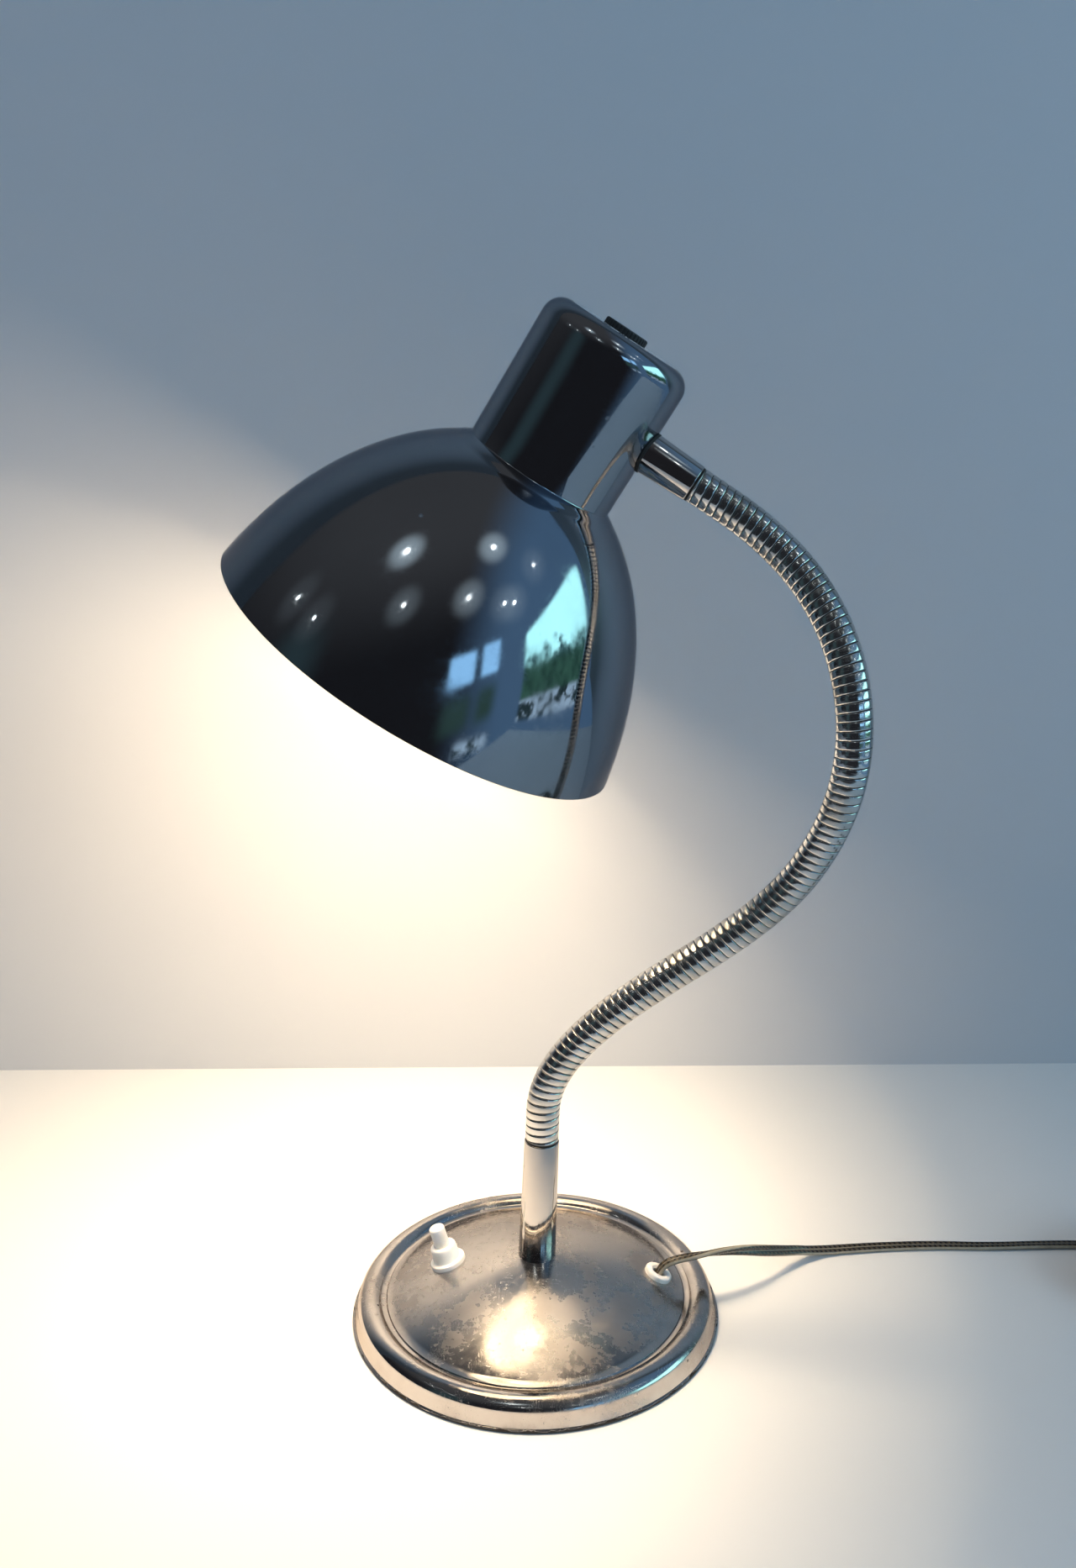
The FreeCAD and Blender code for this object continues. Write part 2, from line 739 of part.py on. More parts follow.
def upper_ferrule():
    start, wide_bore = cap_radius / 2, nipple_radius + through_fit
    step = head_nipple_reach + sleeve_gap / 2
    narrow_bore = sleeve_radius + slide_fit
    ferrule = turned(
        (wide_bore, start), (ferrule_base_radius, start),
        (ferrule_base_radius, cap_radius + gasket_thickness),
        (ferrule_end_radius, ferrule_reach - collar_edge), (ferrule_end_radius - collar_edge, ferrule_reach),
        (narrow_bore, ferrule_reach), (narrow_bore, step), (wide_bore, step))
    return on_head(put(ferrule, ferrule_frame).cut(cap_column(cap_radius + gasket_thickness + seat_gap)))


def ferrule_gasket():
    bore, reach = nipple_radius + through_fit, cap_radius + 2 * gasket_thickness
    blank = put(ring(gasket_radius, bore, cap_radius / 2, reach), ferrule_frame)
    outer, inner = cap_column(cap_radius + gasket_thickness), cap_column(cap_radius + seat_gap)
    return on_head(blank.common(outer.cut(inner)))


def washer_seat():
    """Distance of the flat inner face of the head's washer from the cap's axis."""
    return cap_radius - shade_sheet - head_washer_thickness


def head_washer():
    blank = put(ring(washer_radius, nipple_radius + through_fit, washer_seat(), cap_radius), ferrule_frame)
    return on_head(blank.common(cap_column(cap_radius - shade_sheet - seat_gap)))


def head_nut():
    low = washer_seat() - nut_thickness
    return on_ferrule(hexagon_nut(nut_flats, nipple_radius + slide_fit, low, nut_thickness))


def head_nipple():
    low = washer_seat() - nut_thickness - nut_thread_end
    return on_ferrule(ring(nipple_radius, nipple_bore_radius, low, head_nipple_reach))


def upper_end_sleeve():
    low, high = head_nipple_reach + sleeve_gap, ferrule_reach + sleeve_in_hose
    return on_ferrule(ring(sleeve_radius, sleeve_radius - sleeve_wall, low, high))


def top_nut():
    roof = cap_height + top_nut_height
    edge = top_nut_height / 5
    disc = turned((0, cap_height), (top_nut_radius, cap_height), (top_nut_radius, roof - edge),
                  (top_nut_radius - edge, roof), (0, roof))
    for k in range(top_nut_grooves):
        angle = 2 * math.pi * k / top_nut_grooves
        foot = Vector(top_nut_radius * math.cos(angle), top_nut_radius * math.sin(angle), cap_height)
        disc = disc.cut(Part.makeCylinder(top_nut_groove_radius, top_nut_height, foot))
    bore_depth = top_nut_height - top_nut_skin
    bore = Part.makeCylinder(nipple_radius + slide_fit, bore_depth, Vector(0, 0, cap_height))
    return on_head(disc.cut(bore))


nipple_high = cap_height + top_nut_height - top_nut_skin - through_fit
nipple_low = nipple_high - holder_nipple_length
holder_top = cap_height - shade_sheet - washer_thickness
holder_low = holder_top - holder_length
roof_low = holder_top - holder_roof
thread_low = roof_low - thread_length
tip_high = roof_low - contact_drop - contact_thickness
bulb_cap_high = tip_high - bulb_contact_height
bulb_cap_low = bulb_cap_high - bulb_cap_length
bulb_tip = tip_high - bulb_length


def holder_nipple():
    return on_head(ring(nipple_radius, nipple_bore_radius, nipple_low, nipple_high))


def holder_washer():
    bore = nipple_radius + through_fit
    return on_head(ring(holder_washer_radius, bore, holder_top, holder_top + washer_thickness))


def holder_body():
    inner = holder_radius - holder_wall
    body = turned(
        (0, roof_low), (inner, roof_low), (inner, holder_low), (holder_radius, holder_low),
        (holder_radius, holder_top - holder_cone), (holder_top_radius, holder_top), (0, holder_top))
    body = body.cut(Part.makeCylinder(nipple_radius + slide_fit, holder_roof, Vector(0, 0, nipple_low)))
    entry = Part.makeCylinder(lead_radius + through_fit, holder_radius,
                              Vector(0, 0, holder_top - holder_entry_drop), Vector(1, 0, 0))
    return on_head(body.cut(entry))


def holder_shell():
    """Screw shell of the holder, with a rim that rests on the holder's roof."""
    bore = thread_radius + thread_fit
    return on_head(ring(bore + thread_wall, bore, thread_low, roof_low))


def holder_contact():
    tongue = Part.makeBox(thread_radius, contact_width, contact_thickness,
                          Vector(-bulb_contact_radius, -contact_width / 2, tip_high))
    post_x = thread_radius - bulb_contact_radius - contact_thickness
    post = Part.makeBox(contact_thickness, contact_width, roof_low - tip_high,
                        Vector(post_x, -contact_width / 2, tip_high))
    return on_head(tongue.fuse(post).removeSplitter())


def bulb_cap():
    edge = 2.5
    return on_head(turned((0, bulb_cap_low), (thread_radius, bulb_cap_low),
                          (thread_radius, bulb_cap_high - edge), (thread_radius - edge, bulb_cap_high),
                          (0, bulb_cap_high)))


def bulb_contact():
    return on_head(Part.makeCylinder(bulb_contact_radius, bulb_contact_height, Vector(0, 0, bulb_cap_high)))


def bulb_outline(skin):
    """Edges of the glass from its neck to its tip, a skin inside its outer face."""
    neck = Vector(bulb_neck_radius - skin, 0, bulb_cap_low)
    centre_z = bulb_tip + bulb_glass_radius
    wide = Vector(bulb_glass_radius - skin, 0, centre_z)
    shoulder = Vector(bulb_neck_radius + 2 - skin, 0, bulb_cap_low - bulb_shoulder_drop / 3)
    side = Part.BSplineCurve()
    side.interpolate([neck, shoulder, wide], InitialTangent=Vector(0, 0, -1), FinalTangent=Vector(0, 0, -1))
    tip = Vector(0, 0, bulb_tip + skin)
    slope = math.sqrt(0.5) * (bulb_glass_radius - skin)
    ball_middle = Vector(slope, 0, centre_z - slope)
    return [side.toShape(), Part.Arc(wide, ball_middle, tip).toShape()], neck, tip


def bulb_glass():
    outer, outer_neck, outer_tip = bulb_outline(0)
    inner, inner_neck, inner_tip = bulb_outline(bulb_glass_wall)
    edges = outer + inner + [Part.makeLine(outer_tip, inner_tip), Part.makeLine(inner_neck, outer_neck)]
    return on_head(Part.Face(Part.Wire(Part.sortEdges(edges)[0])).revolve(Vector(), UP, 360))


def head_lead():
    lane = holder_radius + lead_radius + wire_gap
    entry_z = holder_top - holder_entry_drop
    stops = [(ferrule_reach, ferrule_height), (lane, ferrule_height), (lane, entry_z),
             (nipple_radius + 2, entry_z)]
    points = [head_frame.multVec(point(stop)) for stop in stops]
    return tube("head_lead", points, lead_radius, lead_bend)


def coil_place(turn):
    """Centre of the coiled cord: spirals in and out by turns, and climbs as it reverses."""
    layer = min(max(int(turn // turns_per_layer), 0), coil_layers - 1)
    into_layer = turn - layer * turns_per_layer
    if layer % 2 == 0:
        radius = coil_outer_radius - coil_pitch * into_layer
    else:
        radius = coil_inner_radius + coil_pitch * into_layer
    climbs = [min(max((turn - k * turns_per_layer) * 2 + 0.5, 0), 1) for k in range(1, coil_layers)]
    angle = math.pi / 2 - 2 * math.pi * turn
    return Vector(coil_x + radius * math.cos(angle), coil_y + radius * math.sin(angle),
                  coil_rest_z + coil_pitch * sum(climbs))


coil_wire = wound_path(coil_place, coil_layers * turns_per_layer + coil_last_part, coil_straight)
coil_first = coil_wire.OrderedVertexes[0].Point
coil_last = coil_wire.OrderedVertexes[-1].Point


def cord_run():
    rise = grommet_frame.Rotation.multVec(UP)
    points = [cord_exit(), cord_exit() + rise * cord_rise] + [Vector(*bend) for bend in cord_bends]
    return tube("cord_run", points + [coil_first], cord_radius)


def cord_coil():
    gap = least_gap(coil_wire, cord_radius, math.pi * coil_inner_radius)
    print("coil length", round(coil_wire.Length, 1), "least gap", round(gap, 2))
    return swept(coil_wire, cord_radius)


def cord_tail():
    points = [coil_last] + [Vector(*bend) for bend in tail_bends] + [Vector(*plug_entry)]
    return tube("cord_tail", points, cord_radius)


def plug_frame():
    way = (Vector(*plug_end) - Vector(*plug_entry)).normalize()
    side = UP.cross(way).normalize()
    return Placement(Vector(*plug_entry), Rotation(side, Vector(), way, "ZXY"))


def plug_section(z, half_width, half_height):
    """Flat-sided outline with half-round ends, across the plug at a distance from the cord."""
    flat = half_width - half_height
    left_top, right_top = Vector(-flat, half_height, z), Vector(flat, half_height, z)
    right_low, left_low = Vector(flat, -half_height, z), Vector(-flat, -half_height, z)
    return Part.Wire([
        Part.makeLine(left_top, right_top),
        Part.Arc(right_top, Vector(half_width, 0, z), right_low).toShape(),
        Part.makeLine(right_low, left_low),
        Part.Arc(left_low, Vector(-half_width, 0, z), left_top).toShape()])


def plug_body():
    sections = [plug_section(0, plug_neck_radius + 0.4, plug_neck_radius),
                plug_section(plug_length / 3, plug_neck_radius + 2, plug_half_height - 1),
                plug_section(plug_length / 2, plug_half_width, plug_half_height),
                plug_section(plug_length, plug_half_width, plug_half_height)]
    body = Part.makeLoft(sections, True, True)
    for side in (-1, 1):
        hole = Vector(side * pin_spacing / 2, 0, plug_length - pin_embed)
        body = body.cut(Part.makeCylinder(pin_radius, pin_embed, hole))
    return put(body, plug_frame())


def plug_pins():
    pins = []
    for side in (-1, 1):
        foot = Vector(side * pin_spacing / 2, 0, plug_length - pin_embed)
        pins.append(put(Part.makeCylinder(pin_radius, pin_embed + pin_length, foot), plug_frame()))
    return Part.makeCompound(pins)


pieces = [base_pad, base_shell, base_weight, stem_nipple, stem_washer, stem_nut, lower_collar,
          lower_end_sleeve, switch_bushing, switch_body, switch_button, switch_spring, switch_terminals,
          cord_grommet, base_cord, wire_splice, stem_lead, switch_lead, upper_ferrule, ferrule_gasket,
          upper_end_sleeve, head_nipple, head_washer, head_nut, shade, top_nut, holder_nipple, holder_washer,
          holder_body, holder_shell, holder_contact, head_lead, bulb_cap, bulb_contact, bulb_glass,
          cord_run, cord_coil, cord_tail, plug_body, plug_pins]

for piece in pieces:
    write(piece.__name__, piece())
for section in range(neck_sections):
    write("gooseneck_section_" + str(section + 1), gooseneck_section(section))
    write("lead_section_" + str(section + 1), lead_section(section))
    place, way = neck_at((section + 0.5) * section_length)
    print("bend", section + 1, [round(v, 2) for v in place], [round(v, 4) for v in way])
print("hose length", round(neck_length, 1), "rib pitch", round(rib_pitch, 2))
print("switch", switch_frame.Base, switch_frame.Rotation.multVec(UP))
print("head axis", head_axis, "ferrule", ferrule_way)
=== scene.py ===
import math

import bmesh
import bpy
from mathutils import Matrix, Vector, noise


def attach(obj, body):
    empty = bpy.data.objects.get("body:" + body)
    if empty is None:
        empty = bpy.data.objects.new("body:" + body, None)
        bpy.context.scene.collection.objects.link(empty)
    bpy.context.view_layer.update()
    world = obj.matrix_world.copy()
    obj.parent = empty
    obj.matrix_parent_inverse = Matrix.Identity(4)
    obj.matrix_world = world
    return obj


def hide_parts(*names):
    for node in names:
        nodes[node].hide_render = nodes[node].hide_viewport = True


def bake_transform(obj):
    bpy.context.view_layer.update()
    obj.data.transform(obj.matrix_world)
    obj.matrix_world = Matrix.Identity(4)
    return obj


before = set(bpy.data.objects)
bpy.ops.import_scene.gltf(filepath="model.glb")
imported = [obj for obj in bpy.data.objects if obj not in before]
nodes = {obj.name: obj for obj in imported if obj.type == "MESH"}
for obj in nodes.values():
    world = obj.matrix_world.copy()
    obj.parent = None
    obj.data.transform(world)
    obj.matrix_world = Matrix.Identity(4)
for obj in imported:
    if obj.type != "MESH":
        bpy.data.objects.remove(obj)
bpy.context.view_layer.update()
bpy.ops.object.select_all(action="DESELECT")
mm = 0.001
bpy.context.scene.view_settings.view_transform = "Standard"

# Camera
# It stands half a metre in front of the lamp, level with the shade, and looks a little down.
look_down = 0.2348
look_roll = -0.0065
camera_place = Vector((0.00262, -0.5038, 0.3557))
level_right = Vector((1, 0, 0))
level_up = Vector((0, math.sin(look_down), math.cos(look_down)))
camera_right = level_right * math.cos(look_roll) + level_up * math.sin(look_roll)
camera_up = level_up * math.cos(look_roll) - level_right * math.sin(look_roll)
bpy.ops.object.camera_add()
camera = bpy.context.object
camera.data.lens = 29.961
camera.data.clip_start = 0.01
camera_turn = Matrix((camera_right, camera_up, camera_right.cross(camera_up))).transposed()
camera.matrix_world = Matrix.Translation(camera_place) @ camera_turn.to_4x4()
bpy.context.scene.camera = camera
bpy.ops.object.select_all(action="DESELECT")

# Cord
# A flat twin flex of clear gold-brown plastic over two stranded copper cores. It comes up through the
# base's grommet, lies to the right on the table, and what the picture doesn't show of it is coiled.
dome_radius = 130.0
dome_edge_radius = 63.998
dome_edge_z = 8.2
dome_centre_z = dome_edge_z - math.sqrt(dome_radius ** 2 - dome_edge_radius ** 2)


def dome_frame(x, y):
    """Frame on the base's dome, with Z along its normal and the origin at x, y, in millimetres."""
    place = Vector((x, y, dome_centre_z + math.sqrt(dome_radius ** 2 - x ** 2 - y ** 2)))
    normal = (place - Vector((0, 0, dome_centre_z))).normalized()
    turn = Vector((0, 0, 1)).rotation_difference(normal)
    return Matrix.Translation(place * mm) @ turn.to_matrix().to_4x4()


grommet_frame = dome_frame(53.5, 2.0)
cord_exit = grommet_frame.translation
cord_up = grommet_frame.col[2].to_3d()
coil_centre = Vector((0.281, 0.008, 0.0026))
coil_outer_radius = 0.033
coil_inner_radius = 0.022
coil_pitch = 0.0055
turns_per_layer = 2
coil_layers = 4
coil_turns = 8.25
coil_straight = 0.005
points_per_turn = 24


def coil_point(turn):
    """The coil spirals in and out by turns, and climbs onto the next layer as it reverses."""
    layer = min(max(int(turn // turns_per_layer), 0), coil_layers - 1)
    into_layer = turn - layer * turns_per_layer
    radius = coil_outer_radius - coil_pitch * into_layer
    if layer % 2:
        radius = coil_inner_radius + coil_pitch * into_layer
    climbs = sum(min(max((turn - k * turns_per_layer) * 2 + 0.5, 0), 1) for k in range(1, coil_layers))
    angle = math.pi / 2 - math.tau * turn
    return coil_centre + Vector((radius * math.cos(angle), radius * math.sin(angle), coil_pitch * climbs))


def coil_way(turn):
    return (coil_point(turn + 0.02) - coil_point(turn - 0.02)).normalized()


def smooth_line(control, order, resolution):
    """Points along one NURBS spline through its first and last control point."""
    curve = bpy.data.curves.new("line", "CURVE")
    curve.dimensions = "3D"
    spline = curve.splines.new("NURBS")
    spline.points.add(len(control) - 1)
    for point, place in zip(spline.points, control):
        point.co = (*place, 1)
    spline.order_u = order
    spline.use_endpoint_u = True
    spline.resolution_u = resolution
    line = bpy.data.objects.new("line", curve)
    bpy.context.scene.collection.objects.link(line)
    mesh = bpy.data.meshes.new_from_object(line)
    points = [vertex.co.copy() for vertex in mesh.vertices]
    bpy.data.objects.remove(line)
    return points


def distances(points):
    """Distance of each point from the first, along the line."""
    made = [0.0]
    for before, after in zip(points, points[1:]):
        made.append(made[-1] + (after - before).length)
    return made


def stepped(stops, at):
    """Value at a distance, on straight steps between (distance, value) stops."""
    for (low, first), (high, second) in zip(stops, stops[1:]):
        if at <= high:
            return first + (second - first) * max(at - low, 0) / (high - low)
    return stops[-1][1]


def sweep(name, points, outline_at):
    """Closed skin of outlines, each a list of (across, over) offsets, carried level along a line."""
    mesh = bmesh.new()
    rings = []
    for k, point in enumerate(points):
        way = (points[min(k + 1, len(points) - 1)] - points[max(k - 1, 0)]).normalized()
        across = way.cross(Vector((0, 0, 1))).normalized()
        over = across.cross(way)
        rings.append([mesh.verts.new(point + across * x + over * y) for x, y in outline_at(k)])
    for before, after in zip(rings, rings[1:]):
        for i in range(len(before)):
            j = (i + 1) % len(before)
            mesh.faces.new((before[i], before[j], after[j], after[i]))
    mesh.faces.new(rings[0][::-1])
    mesh.faces.new(rings[-1])
    bmesh.ops.recalc_face_normals(mesh, faces=mesh.faces)
    data = bpy.data.meshes.new(name)
    mesh.to_mesh(data)
    piece = bpy.data.objects.new(name, data)
    bpy.context.scene.collection.objects.link(piece)
    return piece


cord_route = [cord_exit, cord_exit + cord_up * 0.0052]
cord_route += [Vector(place) * mm for place in (
    (61.5, 2.4, 20.6), (69.5, 3.4, 21.6), (80, 7, 21.2), (92, 12.5, 18.5), (105, 20.5, 12.8), (118, 30, 6.5),
    (134, 37, 2.8), (158, 40, 2.6), (186, 41.5, 2.6), (214, 40.2, 2.6), (243, 41.4, 2.6), (262, 41, 2.6))]
cord_route.append(coil_point(0) - coil_way(0) * coil_straight)
cord_route += [coil_point(k / points_per_turn) for k in range(int(coil_turns * points_per_turn) + 1)]
cord_route.append(coil_point(coil_turns) + coil_way(coil_turns) * coil_straight)
cord_route += [Vector(place) * mm for place in (
    (315, -14, 18), (314, -30, 13), (311.5, -48, 6), (308, -67, 2.9), (302.5, -86, 4.35), (297.5, -101, 7))]
cord_line = smooth_line(cord_route, 3, 8)
cord_along = distances(cord_line)
cord_length = cord_along[-1]

# The flex turns over once between the grommet and the table, then lies flat, and winds on in the coil.
core_radius = 0.00128
core_offset = 0.00122
flex_turns = [(0.0, 0.0), (0.016, 10.0), (0.05, 95.0), (0.085, 165.0), (0.13, 172.0), (0.19, 186.0),
              (0.24, 180.0), (0.30, 270.0), (cord_length - 0.12, 270.0 + 360 * 24),
              (cord_length - 0.03, 180 * 51), (cord_length, 180 * 51)]
flex_table_height = 0.0026
flex_lifted_height = 0.0060
notch = math.acos(core_offset / core_radius)
lobe = [math.pi - notch - (math.tau - 2 * notch) * k / 11 for k in range(12)]
flex_outline = [(core_offset + core_radius * math.cos(a), core_radius * math.sin(a)) for a in lobe]
flex_outline += [(-x, -y) for x, y in flex_outline[1:-1]]
flex_turn = [math.radians(stepped(flex_turns, at)) for at in cord_along]
cord_path = []
for place, angle in zip(cord_line, flex_turn):
    spare = core_offset * (1 - abs(math.sin(angle)))
    lying = stepped([(flex_table_height, 1.0), (flex_lifted_height, 0.0)], place.z)
    cord_path.append(place - Vector((0, 0, spare * lying)))


def flex_outline_at(k):
    sine, cosine = math.sin(flex_turn[k]), math.cos(flex_turn[k])
    return [(x * cosine - y * sine, x * sine + y * cosine) for x, y in flex_outline]


flex = sweep("twin_flex", cord_path, flex_outline_at)
across_flex = flex.data.attributes.new("across", "FLOAT", "POINT")
along_flex = flex.data.attributes.new("along", "FLOAT", "POINT")
across_flex.data.foreach_set("value", [x / core_offset for _ in cord_path for x, _ in flex_outline])
along_flex.data.foreach_set("value", [at for at in cord_along for _ in flex_outline])
flex.data.shade_smooth()


class Value:
    """One output socket of a node, which can be added, multiplied and taken from numbers."""

    def __init__(self, tree, socket):
        self.tree = tree
        self.socket = socket

    def node(self, kind, settings, inputs, output=0):
        """A new node of a kind, with its settings made first and its sockets filled or linked after."""
        made = self.tree.nodes.new("ShaderNode" + kind)
        for name, setting in settings.items():
            if name == "stops":
                ramp = made.color_ramp.elements
                while len(ramp) < len(setting):
                    ramp.new(0.5)
                for stop, (position, colour) in zip(ramp, setting):
                    stop.position = position
                    stop.color = colour
            else:
                setattr(made, name, setting)
        for name, given in inputs.items():
            if isinstance(given, Value):
                self.tree.links.new(given.socket, made.inputs[name])
            else:
                made.inputs[name].default_value = given
        return Value(self.tree, made.outputs[output])

    def math(self, operation, *terms):
        return self.node("Math", {"operation": operation}, dict(enumerate(terms)))

    def dot(self, way):
        return self.node("VectorMath", {"operation": "DOT_PRODUCT"}, {0: self, 1: way}, 1)

    def absolute(self):
        return self.math("ABSOLUTE", self)

    def __add__(self, other):
        return self.math("ADD", self, other)

    def __sub__(self, other):
        return self.math("SUBTRACT", self, other)

    def __rsub__(self, other):
        return self.math("SUBTRACT", other, self)

    def __mul__(self, other):
        return self.math("MULTIPLY", self, other)

    __radd__ = __add__
    __rmul__ = __mul__

    def between(self, low, high):
        """0 below low and 1 above high, with a soft step between; high may be the lower one."""
        return self.node("MapRange", {"interpolation_type": "SMOOTHSTEP"},
                         {"Value": self, "From Min": low, "From Max": high})

    def noise(self, scale, detail=2.0, roughness=0.5, stretch=None, output=0):
        where = self if stretch is None else self.stretched(*stretch)
        return where.node("TexNoise", {}, {"Vector": where, "Scale": scale, "Detail": detail,
                                           "Roughness": roughness}, output)

    def stretched(self, scale, turn=(0, 0, 0)):
        return self.node("Mapping", {}, {"Vector": self, "Scale": scale, "Rotation": turn})

    def mix(self, low, high):
        """Colour low where this value is 0, and colour high where it is 1."""
        return self.node("Mix", {"data_type": "RGBA"}, {0: self, 6: low, 7: high}, 2)

    def bump(self, strength, distance, under=None):
        inputs = {"Height": self, "Strength": strength, "Distance": distance}
        if under is not None:
            inputs["Normal"] = under
        return self.node("Bump", {}, inputs)

    def attribute(self, name, output=2):
        """A number (output 2) or a vector (output 1) that is kept in the piece's mesh."""
        return self.node("Attribute", {"attribute_name": name}, {}, output)

    def lines(self, scale, stretch, width):
        """Thin wandering lines, where a stretched noise crosses its middle value."""
        return (self.noise(scale, 2.0, 0.5, stretch) - 0.5).absolute().between(width, 0.0)


def rgb(red, green, blue):
    return (red, green, blue, 1.0)


def new_finish(name, constants):
    """A material of one Principled shader, with the given constants; also gives its Object coordinates."""
    material = bpy.data.materials.new(name)
    material.use_nodes = True
    tree = material.node_tree
    shader = tree.nodes["Principled BSDF"]
    for socket, constant in constants.items():
        shader.inputs[socket].default_value = constant
    where = Value(tree, tree.nodes.new("ShaderNodeTexCoord").outputs["Object"])
    return material, shader, where


def feed(shader, **links):
    """Links values to the shader's sockets: Base_Color=..., Roughness=..."""
    for name, value in links.items():
        value.tree.links.new(value.socket, shader.inputs[name.replace("_", " ")])


def dress(piece, *materials):
    piece.data.materials.clear()
    for material in materials:
        piece.data.materials.append(material)


flex_plastic, shader, where = new_finish("flex_plastic", {"Specular IOR Level": 0.6, "IOR": 1.5})
side = where.attribute("across")
core = (side.absolute() - 1.0).absolute()
strand = where.attribute("along") * 2600.0 + side * 2.0
strand = strand.math("SINE", strand).between(-0.9, 0.9)
copper = strand.mix(rgb(0.016, 0.012, 0.008), rgb(0.060, 0.044, 0.026))
clear = where.noise(300.0, 3.0).mix(rgb(0.40, 0.35, 0.25), rgb(0.22, 0.18, 0.12))
feed(shader,
     Base_Color=core.between(0.95, 0.70).mix(clear, copper),
     Roughness=where.noise(220.0, 3.0) * 0.2 + 0.12,
     Normal=(where.noise(900.0, 2.0) * 0.4 + strand * 0.2).bump(0.25, 0.0002))
dress(flex, flex_plastic)
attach(flex, "base")
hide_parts("cord_run", "cord_coil", "cord_tail")

# Cord boot
# A soft ribbed sleeve, moulded with the plug, keeps the flex from kinking where it goes in.
boot_length = 0.022
boot_start = max(k for k, at in enumerate(cord_along) if at < cord_length - boot_length)
boot_ribs = 5
boot_sides = 24


def boot_outline(share):
    """Ring of the boot at a share of its length, from its thin end."""
    rib = 0.0004 * (0.5 - 0.5 * math.cos(math.tau * boot_ribs * share))
    radius = 0.0026 + 0.0016 * share + rib
    angles = [math.tau * i / boot_sides for i in range(boot_sides)]
    return [(radius * 1.06 * math.cos(a), radius * math.sin(a)) for a in angles]


def evenly(points, step):
    """Places at even steps along a line, first and last included."""
    along = distances(points)
    count = int(along[-1] / step)
    made, k = [], 0
    for i in range(count + 1):
        at = along[-1] * i / count
        while k < len(points) - 2 and along[k + 1] < at:
            k += 1
        made.append(points[k].lerp(points[k + 1], (at - along[k]) / (along[k + 1] - along[k])))
    return made


boot_line = evenly(cord_path[boot_start:], 0.0004)
boot = sweep("plug_boot", boot_line, lambda k: boot_outline(k / (len(boot_line) - 1)))
boot.data.shade_smooth()


def moulded(name, light, dark, roughness, grain, constants):
    """Plastic, rubber or paint: two near shades in soft clouds, a fine grain, and an uneven gloss."""
    material, shader, where = new_finish(name, constants)
    clouds = where.noise(90.0, 3.0).between(0.3, 0.7)
    feed(shader,
         Base_Color=clouds.mix(light, dark),
         Roughness=where.noise(260.0, 3.0) * 0.2 + (roughness - 0.1),
         Normal=where.noise(grain, 3.0, 0.6).bump(0.12, 0.0002))
    return material


plug_plastic = moulded("plug_plastic", rgb(0.022, 0.021, 0.020), rgb(0.014, 0.013, 0.013), 0.42, 2500.0, {})
dress(boot, plug_plastic)
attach(boot, "base")


# Plug
# A flat two-pin mains plug, moulded in one piece round two plated pins. Its waist is ribbed for the fingers.
plug_entry = Vector((0.2975, -0.101, 0.007))
plug_end = Vector((0.291, -0.121, 0.007))


def frame_of(origin, x_way, z_way):
    """Frame with Z along one direction and X as near the other as it can be."""
    z = z_way.normalized()
    y = z.cross(x_way).normalized()
    return Matrix.Translation(origin) @ Matrix((y.cross(z), y, z)).transposed().to_4x4()


def start_point(name, place):
    """A mesh of a single point, in edit mode: the start of a piece that is drawn by extruding."""
    bpy.ops.mesh.primitive_plane_add()
    piece = bpy.context.object
    piece.name = piece.data.name = name
    bpy.ops.object.mode_set(mode="EDIT")
    bpy.ops.mesh.merge(type="CENTER")
    bpy.ops.transform.translate(value=place)
    return piece


def close_up(piece, angle, place=Matrix()):
    """Joins what touches, turns the faces outwards, puts the piece in its place and shades it."""
    bpy.ops.mesh.select_all(action="SELECT")
    bpy.ops.mesh.remove_doubles(threshold=2e-6)
    bpy.ops.mesh.normals_make_consistent(inside=False)
    bpy.ops.object.mode_set(mode="OBJECT")
    piece.data.transform(place)
    bpy.ops.object.select_all(action="DESELECT")
    piece.select_set(True)
    bpy.context.view_layer.objects.active = piece
    bpy.ops.object.shade_smooth_by_angle(angle=math.radians(angle))
    piece.select_set(False)
    return piece


plug_sections = [(0.0, 5.0, 4.6), (1.2, 5.2, 4.7), (2.2, 4.9, 4.4), (3.4, 5.4, 4.9), (4.6, 5.1, 4.6),
                 (5.8, 5.8, 5.2), (7.0, 5.5, 4.9), (8.4, 6.3, 5.5), (9.6, 6.1, 5.3), (11.5, 6.8, 5.9),
                 (13.5, 8.6, 6.3), (15.5, 11.4, 6.6), (17.5, 13.3, 6.8), (20.0, 13.9, 6.88),
                 (28.0, 13.9, 6.88), (34.6, 13.9, 6.88), (35.6, 13.6, 6.6), (36.0, 12.8, 5.9)]
plug_way = plug_end - plug_entry
bpy.ops.mesh.primitive_circle_add(vertices=64, radius=plug_sections[0][2] * mm, fill_type="NGON")
plug = bpy.context.object
plug.name = plug.data.name = "plug_shell"
for vertex in plug.data.vertices:
    vertex.co.x += math.copysign(plug_sections[0][1] - plug_sections[0][2], vertex.co.x) * mm
bpy.ops.object.mode_set(mode="EDIT")
for (z, width, height), (next_z, next_width, next_height) in zip(plug_sections, plug_sections[1:]):
    bpy.ops.mesh.extrude_region_move(TRANSFORM_OT_translate={"value": (0, 0, (next_z - z) * mm)})
    bpy.ops.transform.resize(value=(next_width / width, next_height / height, 1))
close_up(plug, 50, frame_of(plug_entry, Vector((0, 0, 1)).cross(plug_way), plug_way))
dress(plug, plug_plastic)
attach(plug, "base")
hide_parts("plug_body")


